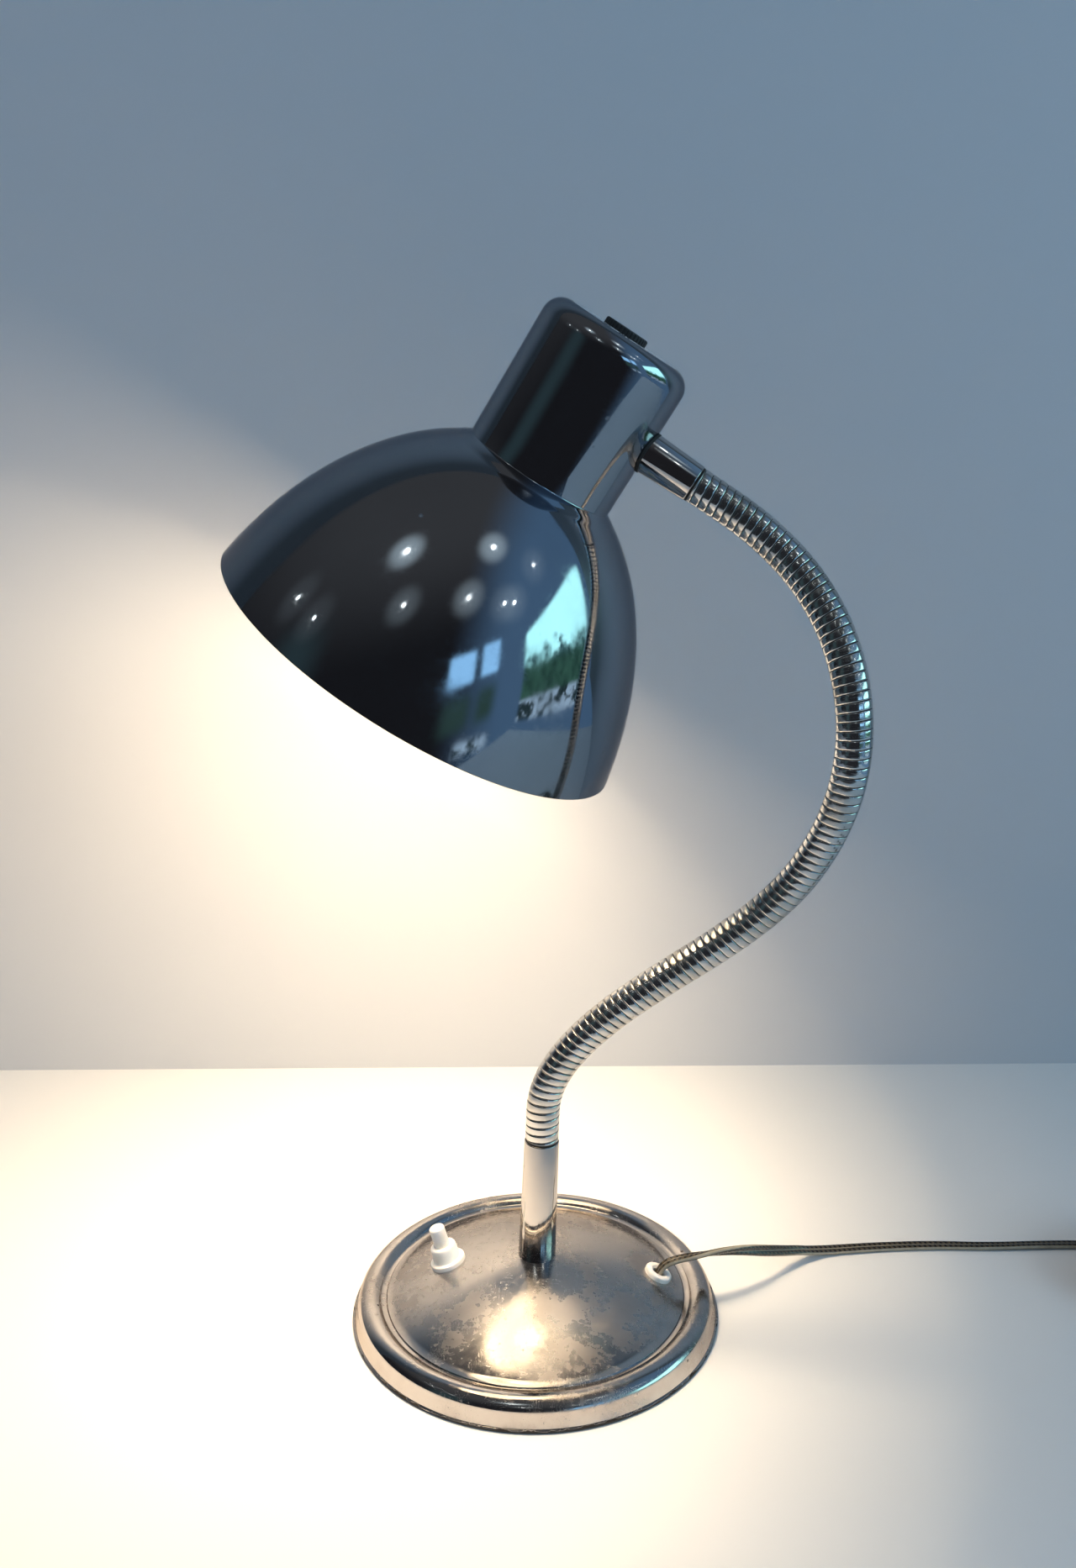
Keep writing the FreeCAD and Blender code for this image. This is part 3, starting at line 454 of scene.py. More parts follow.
def metal(name, light, dark, roughness, constants=None):
    """Plain metal inside the lamp: a mottled surface with light turning marks and a little dulling."""
    material, shader, where = new_finish(name, {"Metallic": 1.0, **(constants or {})})
    clouds = where.noise(140.0, 4.0).between(0.3, 0.7)
    marks = where.noise(500.0, 2.0, 0.5, ((1, 1, 6),))
    feed(shader,
         Base_Color=clouds.mix(light, dark),
         Roughness=clouds * 0.12 + marks * 0.12 + (roughness - 0.12),
         Normal=marks.bump(0.08, 0.0002))
    return material


dress(nodes["plug_pins"], metal("pin_nickel", rgb(0.72, 0.69, 0.62), rgb(0.55, 0.52, 0.46), 0.25))


# Base pad
# A disc of black rubber under the base, with nicks along its edge where it has been knocked.
def turn_up(name, outline, place=Matrix(), steps=96, angle=40):
    """Draws an outline of (radius, height) in millimetres from one point, and spins it round."""
    outline = [(radius * mm, height * mm) for radius, height in outline]
    piece = start_point(name, (outline[0][0], 0, outline[0][1]))
    for before, after in zip(outline, outline[1:]):
        bpy.ops.mesh.extrude_region_move(
            TRANSFORM_OT_translate={"value": (after[0] - before[0], 0, after[1] - before[1])})
    bpy.ops.mesh.select_all(action="SELECT")
    bpy.ops.mesh.spin(steps=steps, angle=math.tau, center=(0, 0, 0), axis=(0, 0, 1))
    return close_up(piece, angle, place)


def rounded(corners, steps=4):
    """Outline of (radius, height) corners; a third number rounds its corner."""
    made = []
    for k, corner in enumerate(corners):
        here = Vector(corner[:2])
        if len(corner) == 2:
            made.append(tuple(here))
            continue
        back = (Vector(corners[k - 1][:2]) - here).normalized()
        on = (Vector(corners[(k + 1) % len(corners)][:2]) - here).normalized()
        half = back.angle(on) / 2
        centre = here + (back + on).normalized() * (corner[2] / math.sin(half))
        start = here + back * (corner[2] / math.tan(half)) - centre
        end = here + on * (corner[2] / math.tan(half)) - centre
        made += [tuple(centre + start.slerp(end, i / steps) * corner[2]) for i in range(steps + 1)]
    return made


def bend(centre, radius, start, end, steps):
    """Arc in an outline, with its angles in degrees up from outwards."""
    angles = [math.radians(start + (end - start) * i / steps) for i in range(steps + 1)]
    return [(centre[0] + radius * math.cos(a), centre[1] + radius * math.sin(a)) for a in angles]


pad_radius = 79.2
pad = turn_up("rubber_pad", rounded([(0, 0), (pad_radius, 0, 0.25), (pad_radius, 1.0), (0, 1.0)]), steps=360)
for vertex in pad.data.vertices:
    if vertex.co.xy.length > (pad_radius - 1) * mm:
        nick = noise.noise(vertex.co * 190) + 0.5 * noise.noise(vertex.co * 700)
        vertex.co.xy *= 1 - 0.006 * max(nick - 0.35, 0)
rubber = moulded("black_rubber", rgb(0.018, 0.017, 0.016), rgb(0.034, 0.030, 0.026), 0.62, 3000.0, {})
dress(pad, rubber)
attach(pad, "base")
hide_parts("base_pad")


# Base shell
# Pressed steel sheet, plated: a low dome, a groove and a round rim, with a short skirt that flares out to
# the foot. Its plating is old, with haze, wiping scratches, pits, and chips along the foot.
def plated(name, tint, edge_tint, haze, scratches, pits, darkening, waves, black=None, dull_within=0.0):
    """Old nickel and chrome plate. Each number is how much of that wear it has. Black is a function
    that says where it is black, and within dull_within metres of the axis the plate is duller."""
    material, shader, where = new_finish(name, {"Metallic": 1.0, "Specular Tint": rgb(*edge_tint)})
    breath = where.noise(38.0, 4.0, 0.55).between(0.35, 0.75)
    fine = where.noise(420.0, 3.0, 0.6).between(0.4, 0.8)
    wiped = where.lines(1.0, ((900, 110, 500), (0.3, 0.2, 0.5)), 0.010)
    wiped = wiped * where.noise(90.0).between(0.5, 0.62)
    scuffs = where.lines(1.0, ((120, 800, 500), (0.1, 0.6, 1.2)), 0.010)
    scuffs = scuffs * where.noise(120.0).between(0.5, 0.62)
    scratch = wiped.math("MAXIMUM", wiped, scuffs)
    cell = where.node("TexVoronoi", {}, {"Vector": where, "Scale": 210.0})
    cell_pick = cell.node("TexVoronoi", {}, {"Vector": where, "Scale": 210.0}, 1)
    pick = cell_pick.node("SeparateColor", {}, {0: cell_pick})
    pit = cell.between(0.22, 0.10) * pick.between(1.0 - pits, 1.03 - pits)
    if black is not None:
        mask = black(where)
        pit = pit.math("MAXIMUM", pit, mask)
    dull = breath * darkening
    bright = rgb(*tint)
    worn = rgb(tint[0] * 0.76, tint[1] * 0.73, tint[2] * 0.71)
    colour = dull.mix(bright, worn)
    roughness = breath * haze + fine * (haze * 0.6) + scratch * scratches + pit * 0.5 + 0.035
    if dull_within:
        flat = where.node("VectorMath", {"operation": "MULTIPLY"}, {0: where, 1: (1, 1, 0)})
        from_axis = flat.node("VectorMath", {"operation": "LENGTH"}, {0: flat}, 1)
        roughness = roughness + from_axis.between(dull_within + 0.003, dull_within - 0.003) * 0.10
    feed(shader,
         Base_Color=pit.mix(colour, rgb(0.022, 0.017, 0.013)),
         Roughness=roughness,
         Metallic=1.0 - pit * 0.8,
         Normal=(where.noise(17.0, 1.0) * waves - scratch * (0.02 * scratches) - pit * 0.05).bump(0.5, 0.001))
    return material


foot_radius = 79.3
foot_height = 1.0
rim_centre = (71.5, 5.8)
rim_radius = 5.5
shell_sheet = 0.9
dome_foot_radius = 62.2
dome_steps = 50
under_edge_radius = 63.098
foot = [(foot_radius, foot_height), (foot_radius, 1.2), (79.15, 1.35), (78.8, 1.45), (78.45, 1.65)]
rim = bend(rim_centre, rim_radius, 0, 146, 36)
ledge = rounded([(66.2, 8.6), (64.7, 8.3, 0.3), (64.3, 8.95, 0.2), (dome_foot_radius, 9.2)])
dome_slope = [(0.0, 0.0), (12.0, 0.16), (30.0, 0.255), (38.0, 0.306), (46.0, 0.378), (54.0, 0.457),
              (dome_foot_radius, 0.545)]
dome = [ledge[-1]]
for _ in range(dome_steps):
    radius, height = dome[-1]
    step = dome_foot_radius / dome_steps
    dome.append((radius - step, height + step * stepped(dome_slope, radius - step / 2)))
under = [(radius, dome_centre_z + math.sqrt((dome_radius - shell_sheet) ** 2 - radius ** 2))
         for radius in (0.0, 12.0, 30.0, 48.0, under_edge_radius)]
shell_outline = (
    foot + rim + ledge + dome[1:-1] + [(0.0, dome[-1][1])] + under + [(under_edge_radius, 6.5)]
    + bend(rim_centre, rim_radius - shell_sheet, 171.25, 0, 16)
    + [(77.5, 1.6), (78.1, foot_height), (foot_radius, foot_height)])


def drill(piece, radius, place, reach=20.0):
    """A round hole through a piece, about the Z axis of a place."""
    bpy.ops.mesh.primitive_cylinder_add(vertices=64, radius=radius * mm, depth=reach * mm)
    bit = bpy.context.object
    bit.data.transform(place)
    hole = piece.modifiers.new("hole", "BOOLEAN")
    hole.operation = "DIFFERENCE"
    hole.object = bit
    bpy.context.view_layer.objects.active = piece
    bpy.ops.object.modifier_apply(modifier=hole.name)
    bpy.data.objects.remove(bit)


stem_way = Vector((math.sin(math.radians(2.55)), 0, math.cos(math.radians(2.55))))
stem_frame = frame_of(Vector((0, 0, 0.007)), Vector((1, 0, 0)), stem_way)
switch_frame = dome_frame(-38.0, 4.0)
thread_hole = 5.1
grommet_hole = 4.75
shell = turn_up("base_shell_plated", shell_outline, steps=192, angle=35)
drill(shell, thread_hole, stem_frame, 80.0)
drill(shell, thread_hole, switch_frame)
drill(shell, grommet_hole, grommet_frame)


def chipped_foot(where):
    """Black where the plating has flaked off the edge of the foot."""
    height = where.dot(Vector((0, 0, 1))) - where.noise(140.0, 3.0, 0.6) * 0.0022
    return height.between(0.0003, 0.0001)


base_plate = plated("base_plate", (0.58, 0.54, 0.51), (0.64, 0.60, 0.57), haze=0.22, scratches=0.25,
                    pits=0.04, darkening=0.8, waves=0.35, black=chipped_foot, dull_within=0.061)
dress(shell, base_plate)
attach(shell, "base")
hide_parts("base_shell")

# Inside the base
# A cast weight sits on the pad. The stem's threaded tube goes down through it and is held by a washer and
# a nut; the flex, the switch wire and the lamp's lead meet in one splice.
cast_iron, shader, where = new_finish("cast_iron", {"Metallic": 0.6, "Specular IOR Level": 0.3})
feed(shader,
     Base_Color=where.noise(120.0, 4.0).mix(rgb(0.055, 0.050, 0.046), rgb(0.13, 0.085, 0.055)),
     Roughness=where.noise(300.0) * 0.2 + 0.6,
     Normal=where.noise(900.0, 4.0, 0.7).bump(0.6, 0.0006))
dress(nodes["base_weight"], cast_iron)
zinc = metal("zinc_plate", rgb(0.62, 0.62, 0.60), rgb(0.50, 0.50, 0.46), 0.38)
brass = metal("brass", rgb(0.72, 0.52, 0.24), rgb(0.55, 0.38, 0.17), 0.32)
for name in ("stem_nipple", "stem_washer", "stem_nut", "lower_end_sleeve", "upper_end_sleeve", "head_nipple",
             "head_washer", "head_nut", "holder_nipple", "holder_washer"):
    dress(nodes[name], zinc)
dress(nodes["base_cord"], flex_plastic)
splice_plastic = moulded("splice_plastic", rgb(0.42, 0.40, 0.35), rgb(0.34, 0.32, 0.28), 0.5, 1500.0, {})
dress(nodes["wire_splice"], splice_plastic)
sleeving = moulded("lead_sleeving", rgb(0.10, 0.09, 0.08), rgb(0.06, 0.055, 0.05), 0.55, 2200.0, {})
for name in ("stem_lead", "switch_lead", "head_lead"):
    dress(nodes[name], sleeving)

# Push switch
# A white plastic bushing with a broad flange, screwed through the dome onto the switch body below, and the
# round button that slides in it on a small spring. The plastic has yellowed a little.
white_plastic, shader, where = new_finish(
    "white_plastic", {"Subsurface Weight": 0.08, "Subsurface Scale": 0.002, "Coat Roughness": 0.2})
aged = where.noise(160.0, 3.0).between(0.35, 0.75)
feed(shader,
     Base_Color=aged.mix(rgb(0.80, 0.77, 0.71), rgb(0.70, 0.65, 0.55)),
     Roughness=where.noise(420.0, 3.0) * 0.18 + 0.24,
     Normal=where.noise(1400.0, 2.0).bump(0.06, 0.0002))
switch_bore = 3.43
bushing = turn_up("switch_cap", rounded([
    (switch_bore, -0.4), (7.65, -0.4), (7.65, 1.9, 0.7), (6.0, 1.9, 0.35), (5.75, 6.9), (5.4, 8.7, 1.1),
    (3.9, 8.7, 0.2), (switch_bore, 8.3), (switch_bore, -0.4)]), switch_frame, 96, 30)
dress(bushing, white_plastic)
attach(bushing, "base")
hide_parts("switch_bushing")
button_radius = 3.35
button_top = 17.4
button = turn_up("switch_push", rounded([
    (0, -5.6), (4.4, -5.6), (4.4, -4.2), (button_radius, -4.2), (button_radius, 15.6),
    (button_radius, button_top, 1.0), (1.4, button_top, 0.4), (0, 17.25)]), switch_frame, 64, 30)
dress(button, white_plastic)
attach(button, "button")
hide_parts("switch_button")
bakelite = moulded("bakelite", rgb(0.030, 0.020, 0.015), rgb(0.017, 0.012, 0.010), 0.28, 1200.0, {})
dress(nodes["switch_body"], bakelite)
dress(nodes["switch_spring"], zinc)
dress(nodes["switch_terminals"], brass)

# Cord grommet
# A ring of the same white plastic, snapped into the dome.
grommet_bore = 2.6
grommet_neck = 4.7
grommet_flange = 6.0
grommet_ring = turn_up("grommet_ring", rounded([
    (grommet_bore, -2.2), (5.4, -2.2), (5.4, -1.0), (grommet_neck, -1.0), (grommet_neck, -0.5),
    (grommet_flange, -0.5), (grommet_flange, 2.2, 1.0), (3.6, 2.2, 0.7), (grommet_bore, 1.2),
    (grommet_bore, -2.2)], 6), grommet_frame, 64, 30)
dress(grommet_ring, white_plastic)
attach(grommet_ring, "base")
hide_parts("cord_grommet")

# Stem collar
# Turned brass tube, chromed, slightly narrower at its top, which covers the threaded tube and the hose's end.
sleeve_end = 7.35
collar_low, collar_top, collar_seat = 17.6, 72.9, 57.75
hose_bore = 4.6
collar = turn_up("stem_collar", rounded([
    (thread_hole, collar_low), (8.0, collar_low), (8.0, 18.3, 0.2), (sleeve_end, collar_top, 0.4),
    (hose_bore, collar_top), (hose_bore, collar_seat), (thread_hole, collar_seat),
    (thread_hole, collar_low)]), stem_frame, 128, 35)
neck_plate = plated("neck_plate", (0.58, 0.55, 0.53), (0.60, 0.60, 0.60), haze=0.07, scratches=0.12,
                    pits=0.03, darkening=0.3, waves=0.1)
dress(collar, neck_plate)
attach(collar, "base")
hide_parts("lower_collar")

# Neck hose
# Gooseneck hose: a strip of plated steel wound in a tight helix over a wire, a hundred turns that rub on each
# other, so it stays where it is bent. It is drawn straight, in one piece for each of the neck's six bends.
azimuth, elevation, bearing = math.radians(75.7), math.radians(56.7), math.radians(5.0)
head_axis = Vector((math.cos(elevation) * math.sin(azimuth), -math.cos(elevation) * math.cos(azimuth),
                    math.sin(elevation)))
head_down = Vector((math.sin(elevation) * math.sin(azimuth), -math.sin(elevation) * math.cos(azimuth),
                    -math.cos(elevation)))
head_side = Vector((math.cos(azimuth), math.sin(azimuth), 0))
ferrule_way = head_down * math.cos(bearing) + head_side * math.sin(bearing)
head_frame = frame_of(Vector((0.0031, 0.019, 0.3536)), ferrule_way, head_axis)
ferrule_height = 31.0
ferrule_low, ferrule_top, ferrule_seat = 27.0, 52.5, 39.75
collar_end = stem_frame @ Vector((0, 0, collar_top * mm))
hose_end = head_frame @ Vector((ferrule_top * mm, 0, ferrule_height * mm))
neck_straight = 0.014
neck_start = collar_end + stem_way * neck_straight
neck_finish = hose_end + ferrule_way * neck_straight
neck_curve = smooth_line(
    [neck_start, neck_start + stem_way * 0.030]
    + [Vector(place) * mm for place in ((88, -2.5, 171.8), (112.8, -12, 207.1), (122.2, -22, 239.8),
                                        (122.7, -21, 272.5), (113.4, -8, 307.6))]
    + [neck_finish + ferrule_way * 0.022, neck_finish], 4, 96)
neck_line = evenly([collar_end] + neck_curve + [hose_end], 0.0005)
neck_along = distances(neck_line)
neck_sections = 6
turns_per_section = 17
section_length = neck_along[-1] / neck_sections
hose_pitch = section_length / turns_per_section


def neck_frame(at):
    """Frame on the neck's line at a distance from the collar, with X as near the world's Y as it can be."""
    place = min(max(at / neck_along[-1], 0), 1) * (len(neck_line) - 1)
    k = min(int(place), len(neck_line) - 2)
    before, after = neck_line[max(k - 1, 0)], neck_line[min(k + 2, len(neck_line) - 1)]
    near = (neck_line[k + 1] - before).normalized().lerp((after - neck_line[k]).normalized(), place - k)
    return frame_of(neck_line[k].lerp(neck_line[k + 1], place - k), Vector((0, 1, 0)), near)


def bend_along_neck(piece, section):
    """Moves a straight piece's points onto the neck's line, and keeps their straight places in an attribute.
    """
    first = section * section_length
    straight = piece.data.attributes.new("straight", "FLOAT_VECTOR", "POINT")
    straight.data.foreach_set("vector", [c for vertex in piece.data.vertices
                                         for c in (vertex.co.x, vertex.co.y, vertex.co.z + first)])
    frames = {}
    for vertex in piece.data.vertices:
        at = first + vertex.co.z
        key = round(at * 1e7)
        if key not in frames:
            frames[key] = neck_frame(at)
        vertex.co = frames[key] @ Vector((vertex.co.x, vertex.co.y, 0))
    margin = 0.05 * section_length
    neck_frame(first + margin).translation
    neck_frame(first + section_length - margin).translation
    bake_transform(piece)


gap_radius = 6.95
gap_depth = 0.3
hose_turn = [(0.0, 6.45), (0.035, 6.5), (0.05, 6.86), (0.10, 7.0), (0.20, 7.04), (0.5, 7.05), (0.80, 7.04),
             (0.90, 7.0), (0.95, 6.86), (0.965, 6.5), (1.0, 6.45)]


def straight_hose(name):
    """Seventeen turns of hose: one turn's outline on a screw, cut square at both ends, with its bore."""
    piece = start_point(name, (hose_turn[0][1] * mm, 0, -2 * hose_pitch))
    for (share, radius), (next_share, next_radius) in zip(hose_turn, hose_turn[1:]):
        bpy.ops.mesh.extrude_region_move(TRANSFORM_OT_translate={
            "value": ((next_radius - radius) * mm, 0, (next_share - share) * hose_pitch)})
    bpy.ops.object.mode_set(mode="OBJECT")
    screw = piece.modifiers.new("winding", "SCREW")
    screw.steps = screw.render_steps = 36
    screw.iterations = turns_per_section + 4
    screw.screw_offset = hose_pitch
    bpy.ops.object.modifier_apply(modifier=screw.name)
    bpy.ops.object.mode_set(mode="EDIT")
    bpy.ops.mesh.select_all(action="SELECT")
    bpy.ops.mesh.remove_doubles(threshold=2e-6)
    for height, way in ((0, -1), (section_length, 1)):
        bpy.ops.mesh.select_all(action="SELECT")
        bpy.ops.mesh.bisect(plane_co=(0, 0, height), plane_no=(0, 0, way), clear_outer=True)
    mesh = bmesh.from_edit_mesh(piece.data)
    for edge in mesh.edges:
        edge.select_set(edge.is_boundary)
    bmesh.update_edit_mesh(piece.data)
    bpy.ops.mesh.extrude_region_move()
    mesh = bmesh.from_edit_mesh(piece.data)
    for vertex in mesh.verts:
        if vertex.select:
            vertex.co.xy = vertex.co.xy.normalized() * hose_bore * mm
    bmesh.update_edit_mesh(piece.data)
    bpy.ops.mesh.bridge_edge_loops(number_cuts=turns_per_section * 2, interpolation="LINEAR")
    close_up(piece, 42)
    gap = piece.data.attributes.new("gap", "FLOAT", "POINT")
    gap.data.foreach_set("value", [
        min(max((gap_radius - vertex.co.xy.length / mm) / gap_depth, 0), 1)
        for vertex in piece.data.vertices])
    return piece


hose_plate, shader, where = new_finish("hose_plate", {"Metallic": 1.0, "Specular Tint": rgb(0.6, 0.6, 0.6)})
straight = where.attribute("straight", 1)
# Painted shade: down in the grooves between the turns the hose is coloured near black and made less metallic
gap = where.attribute("gap").between(0.15, 0.75)
into_hose = straight.dot(Vector((0, 0, 1)))
half_neck = neck_along[-1] / 2
# Painted shade: the same near black at the hose's two ends, where they go into the collar and the ferrule
sleeve_shade = (into_hose - half_neck).absolute().between(half_neck - 0.0014, half_neck - 0.0007)
gap = gap.math("MAXIMUM", gap, sleeve_shade)
worn = straight.noise(55.0, 3.0).between(0.4, 0.7)
rubbed = straight.lines(1.0, ((60, 60, 900),), 0.02)
# Darkening: the painted shade of the grooves and the ends, with real dirt spots from a noise added
darkening = gap.math("MAXIMUM", gap, straight.noise(260.0, 3.0).between(0.66, 0.8) * 0.35)
feed(shader,
     Base_Color=darkening.mix(worn.mix(rgb(0.74, 0.72, 0.69), rgb(0.56, 0.53, 0.48)), rgb(0.020, 0.016, 0.012)),
     Roughness=worn * 0.08 + rubbed * 0.10 + gap * 0.45 + 0.12,
     Metallic=1.0 - gap * 0.7,
     Normal=(straight.noise(700.0, 2.0) * 0.3 + rubbed * 0.2).bump(0.15, 0.0002))
hose = straight_hose("straight_hose")
lead_radius = 1.8
bpy.ops.mesh.primitive_circle_add(vertices=24, radius=lead_radius * mm, fill_type="NGON")
lead = bpy.context.object
lead.name = lead.data.name = "straight_lead"
bpy.ops.object.mode_set(mode="EDIT")
for _ in range(turns_per_section):
    bpy.ops.mesh.extrude_region_move(TRANSFORM_OT_translate={"value": (0, 0, hose_pitch)})
close_up(lead, 40)
for section in range(neck_sections):
    for first, name, slot, finish, node in (
            (hose, "neck_hose_", "chrome_plate", hose_plate, "gooseneck_section_"),
            (lead, "neck_lead_", "lead_sleeving", sleeving, "lead_section_")):
        piece = first.copy()
        piece.data = first.data.copy()
        piece.name = piece.data.name = name + str(section + 1)
        bpy.context.scene.collection.objects.link(piece)
        dress(piece, finish)
        bend_along_neck(piece, section)
        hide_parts(node + str(section + 1))
for first in (hose, lead):
    bpy.data.objects.remove(first)

# Ferrule
# A second chromed sleeve, like the collar, holds the hose's upper end to the side of the cap, over a rubber
# gasket that follows the cap's curve.
cap_radius = 31.0
gasket_outside = cap_radius + 1.02
across_head = Matrix.Rotation(math.pi / 2, 4, "Y")
ferrule_frame = head_frame @ Matrix.Translation((0, 0, ferrule_height * mm)) @ across_head
ferrule = turn_up("hose_ferrule", rounded([
    (thread_hole, ferrule_low), (8.05, ferrule_low), (8.05, 32.6, 0.2), (sleeve_end, ferrule_top, 0.4),
    (hose_bore, ferrule_top), (hose_bore, ferrule_seat), (thread_hole, ferrule_seat),
    (thread_hole, ferrule_low)]), ferrule_frame, 128, 35)
drill(ferrule, gasket_outside, head_frame, 140.0)
dress(ferrule, neck_plate)
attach(ferrule, "head")
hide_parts("upper_ferrule")
dress(nodes["ferrule_gasket"], rubber)

# Shade
# Cap and bell are spun from one sheet, mirror chromed outside and enamelled white inside, with a small
# shoulder where they meet. The plating still mirrors the room; it has a few pits and wiping marks.
shade_sheet = 0.8
bell_depth = 89.0
bell_half_width = 94.43
bell_half_length = 139.28
bell_centre_depth = 129.45


def bell(skin, start, end, steps):
    """Outline of the bell, a part of an ellipse, at depths from the shoulder down to the mouth."""
    made = []
    for i in range(steps + 1):
        depth = start + (end - start) * i / steps
        share = (bell_centre_depth - depth) / (bell_half_length - skin)
        made.append(((bell_half_width - skin) * math.sqrt(1 - share ** 2), -depth))
    return made


cap_height = 62.0
cap_corner = 8.0
corner_centre = (cap_radius - cap_corner, cap_height - cap_corner)
cap_inside = cap_radius - shade_sheet
ceiling = cap_height - shade_sheet
mouth_edge = bell_depth - 0.2
shoulder = (34.35, 0.5)
shade_outline = (
    bell(0, mouth_edge, 0, 64) + [shoulder]
    + rounded([shoulder, (cap_radius, 2.4, 0.6), (cap_radius, corner_centre[1])])[1:-1]
    + [(cap_radius, height) for height in (10, 20, 31, 42)] + bend(corner_centre, cap_corner, 0, 90, 14)
    + [(16, cap_height), (8, cap_height), (thread_hole, cap_height), (thread_hole, ceiling), (12, ceiling)]
    + bend(corner_centre, cap_corner - shade_sheet, 90, 0, 10) + [(cap_inside, 31), (cap_inside, 1.6)]
    + bell(shade_sheet, shade_sheet, mouth_edge, 40)
    + [bell(0.25, bell_depth, bell_depth, 1)[0], bell(0, mouth_edge, bell_depth, 1)[0]])
shade = turn_up("shade_shell", shade_outline, head_frame, 256, 25)
cap_side = Matrix.Translation((cap_radius * mm, 0, ferrule_height * mm))
drill(shade, thread_hole, head_frame @ cap_side @ across_head)
# Painted shade: the same chrome as the base's and the neck's, given a darker tint for the dim room that the
# head mirrors
head_plate = plated("head_plate", (0.39, 0.40, 0.42), (0.42, 0.43, 0.46), haze=0.08, scratches=0.10,
                    pits=0.02, darkening=0.25, waves=0.25)
enamel = moulded("white_enamel", rgb(0.78, 0.76, 0.71), rgb(0.72, 0.69, 0.62), 0.3, 700.0, {})
dress(shade, head_plate, enamel)
to_head = head_frame.inverted()
turn_head = to_head.to_3x3()
for face in shade.data.polygons:
    centre, out = to_head @ face.center, turn_head @ face.normal
    face.material_index = 1 if out.xy.dot(centre.xy) < 0 or (centre.z > 0.0608 and out.z < -0.5) else 0
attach(shade, "head")
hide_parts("shade")
black_paint = moulded("black_paint", rgb(0.020, 0.019, 0.018), rgb(0.040, 0.036, 0.032), 0.55, 1800.0, {})
dress(nodes["top_nut"], black_paint)

# Lampholder and bulb
# A black bakelite holder hangs in the cap. The bulb is a frosted one, lit, and warm in colour.
dress(nodes["holder_body"], bakelite)
dress(nodes["holder_shell"], brass)
dress(nodes["holder_contact"], brass)
dress(nodes["bulb_cap"], metal("lamp_aluminium", rgb(0.72, 0.72, 0.72), rgb(0.60, 0.60, 0.60), 0.35))
dress(nodes["bulb_contact"], brass)
neck_low, neck_high, tip = -0.93, 16.4, -67.6
globe_radius = 30.0
globe_centre = tip + globe_radius
neck_radius = 16.5
shoulder_steps = 16
glass_outline = [(0, neck_high), (14.5, neck_high), (14.9, 10.0), (15.6, 4.0)]
for i in range(shoulder_steps + 1):
    widened = (1 - math.cos(math.pi * i / shoulder_steps)) / 2
    glass_outline.append((neck_radius + (globe_radius - neck_radius) * widened,
                          neck_low + (globe_centre - neck_low) * i / shoulder_steps))
glass_outline += bend((0, globe_centre), globe_radius, 0, -90, 24)[1:]
bulb = turn_up("bulb_frosted", glass_outline, head_frame, 96, 35)
frosted, shader, where = new_finish("frosted_glass", {"Emission Strength": 3.5, "Coat Weight": 0.3})
feed(shader,
     Base_Color=where.noise(30.0).mix(rgb(0.90, 0.88, 0.84), rgb(0.85, 0.82, 0.76)),
     Roughness=where.noise(300.0) * 0.1 + 0.3,
     Emission_Color=where.noise(20.0).mix(rgb(1.0, 0.86, 0.62), rgb(1.0, 0.82, 0.56)))
dress(bulb, frosted)
bulb.visible_shadow = False
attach(bulb, "head")
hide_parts("bulb_glass")
# The bulb's beam, and the glow of the enamel round it, which leaves by the shade's mouth
bpy.ops.object.light_add(type="SPOT")
bulb_light = bpy.context.object
bulb_light.data.spot_size = math.radians(142)
bulb_light.data.spot_blend = 0.1
bulb_light.data.shadow_soft_size = 0.028
bulb_light.data.energy = 4.0
bulb_light.data.color = (1.0, 0.80, 0.56)
bulb_light.matrix_world = head_frame @ Matrix.Translation((0, 0, globe_centre * mm))
bulb_light.select_set(False)
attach(bulb_light, "head")
bpy.ops.object.light_add(type="AREA")
mouth_light = bpy.context.object
mouth_light.data.shape = "DISK"
mouth_light.data.size = 0.17
mouth_light.data.energy = 1.5
mouth_light.data.color = (1.0, 0.78, 0.55)
mouth_light.visible_camera = False
mouth_light.visible_glossy = False
mouth_light.matrix_world = head_frame @ Matrix.Translation((0, 0, -(bell_depth + 2) * mm))
mouth_light.select_set(False)
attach(mouth_light, "head")


# Table and wall
# A pale table top whose front edge is under the viewer's hands, and a pale wall behind it.
def stage_plane(name, corners, light, dark, far_shade_colour, near_point):
    """A plain plane; in what the plating mirrors of it, a painted shade darkens it away from the lamp."""
    bpy.ops.mesh.primitive_plane_add(size=1)
    plane = bpy.context.object
    plane.name = name
    for vertex, corner in zip(plane.data.vertices, corners):
        vertex.co = corner
    material, shader, where = new_finish(name, {"Specular IOR Level": 0.25})
    away = where.node("VectorMath", {"operation": "DISTANCE"}, {0: where, 1: near_point}, 1)
    path = where.node("LightPath", {}, {})
    mirrored = Value(path.tree, path.socket.node.outputs["Is Glossy Ray"])
    colour = where.noise(3.0, 2.0).mix(light, dark)
    feed(shader,
         # Painted shade: seen in the plating, the plane turns to its far shade colour away from the lamp
         Base_Color=(mirrored * away.between(0.25, 1.0)).mix(colour, far_shade_colour),
         Roughness=where.noise(40.0) * 0.1 + 0.5)
    face = where.node("NewGeometry", {}, {})
    behind = Value(face.tree, face.socket.node.outputs["Backfacing"])
    clear = where.node("BsdfTransparent", {}, {})
    shown = where.node("MixShader", {}, {0: behind, 1: Value(face.tree, shader.outputs[0]), 2: clear})
    face.tree.links.new(shown.socket, material.node_tree.nodes["Material Output"].inputs["Surface"])
    dress(plane, material)
    bpy.ops.object.select_all(action="DESELECT")


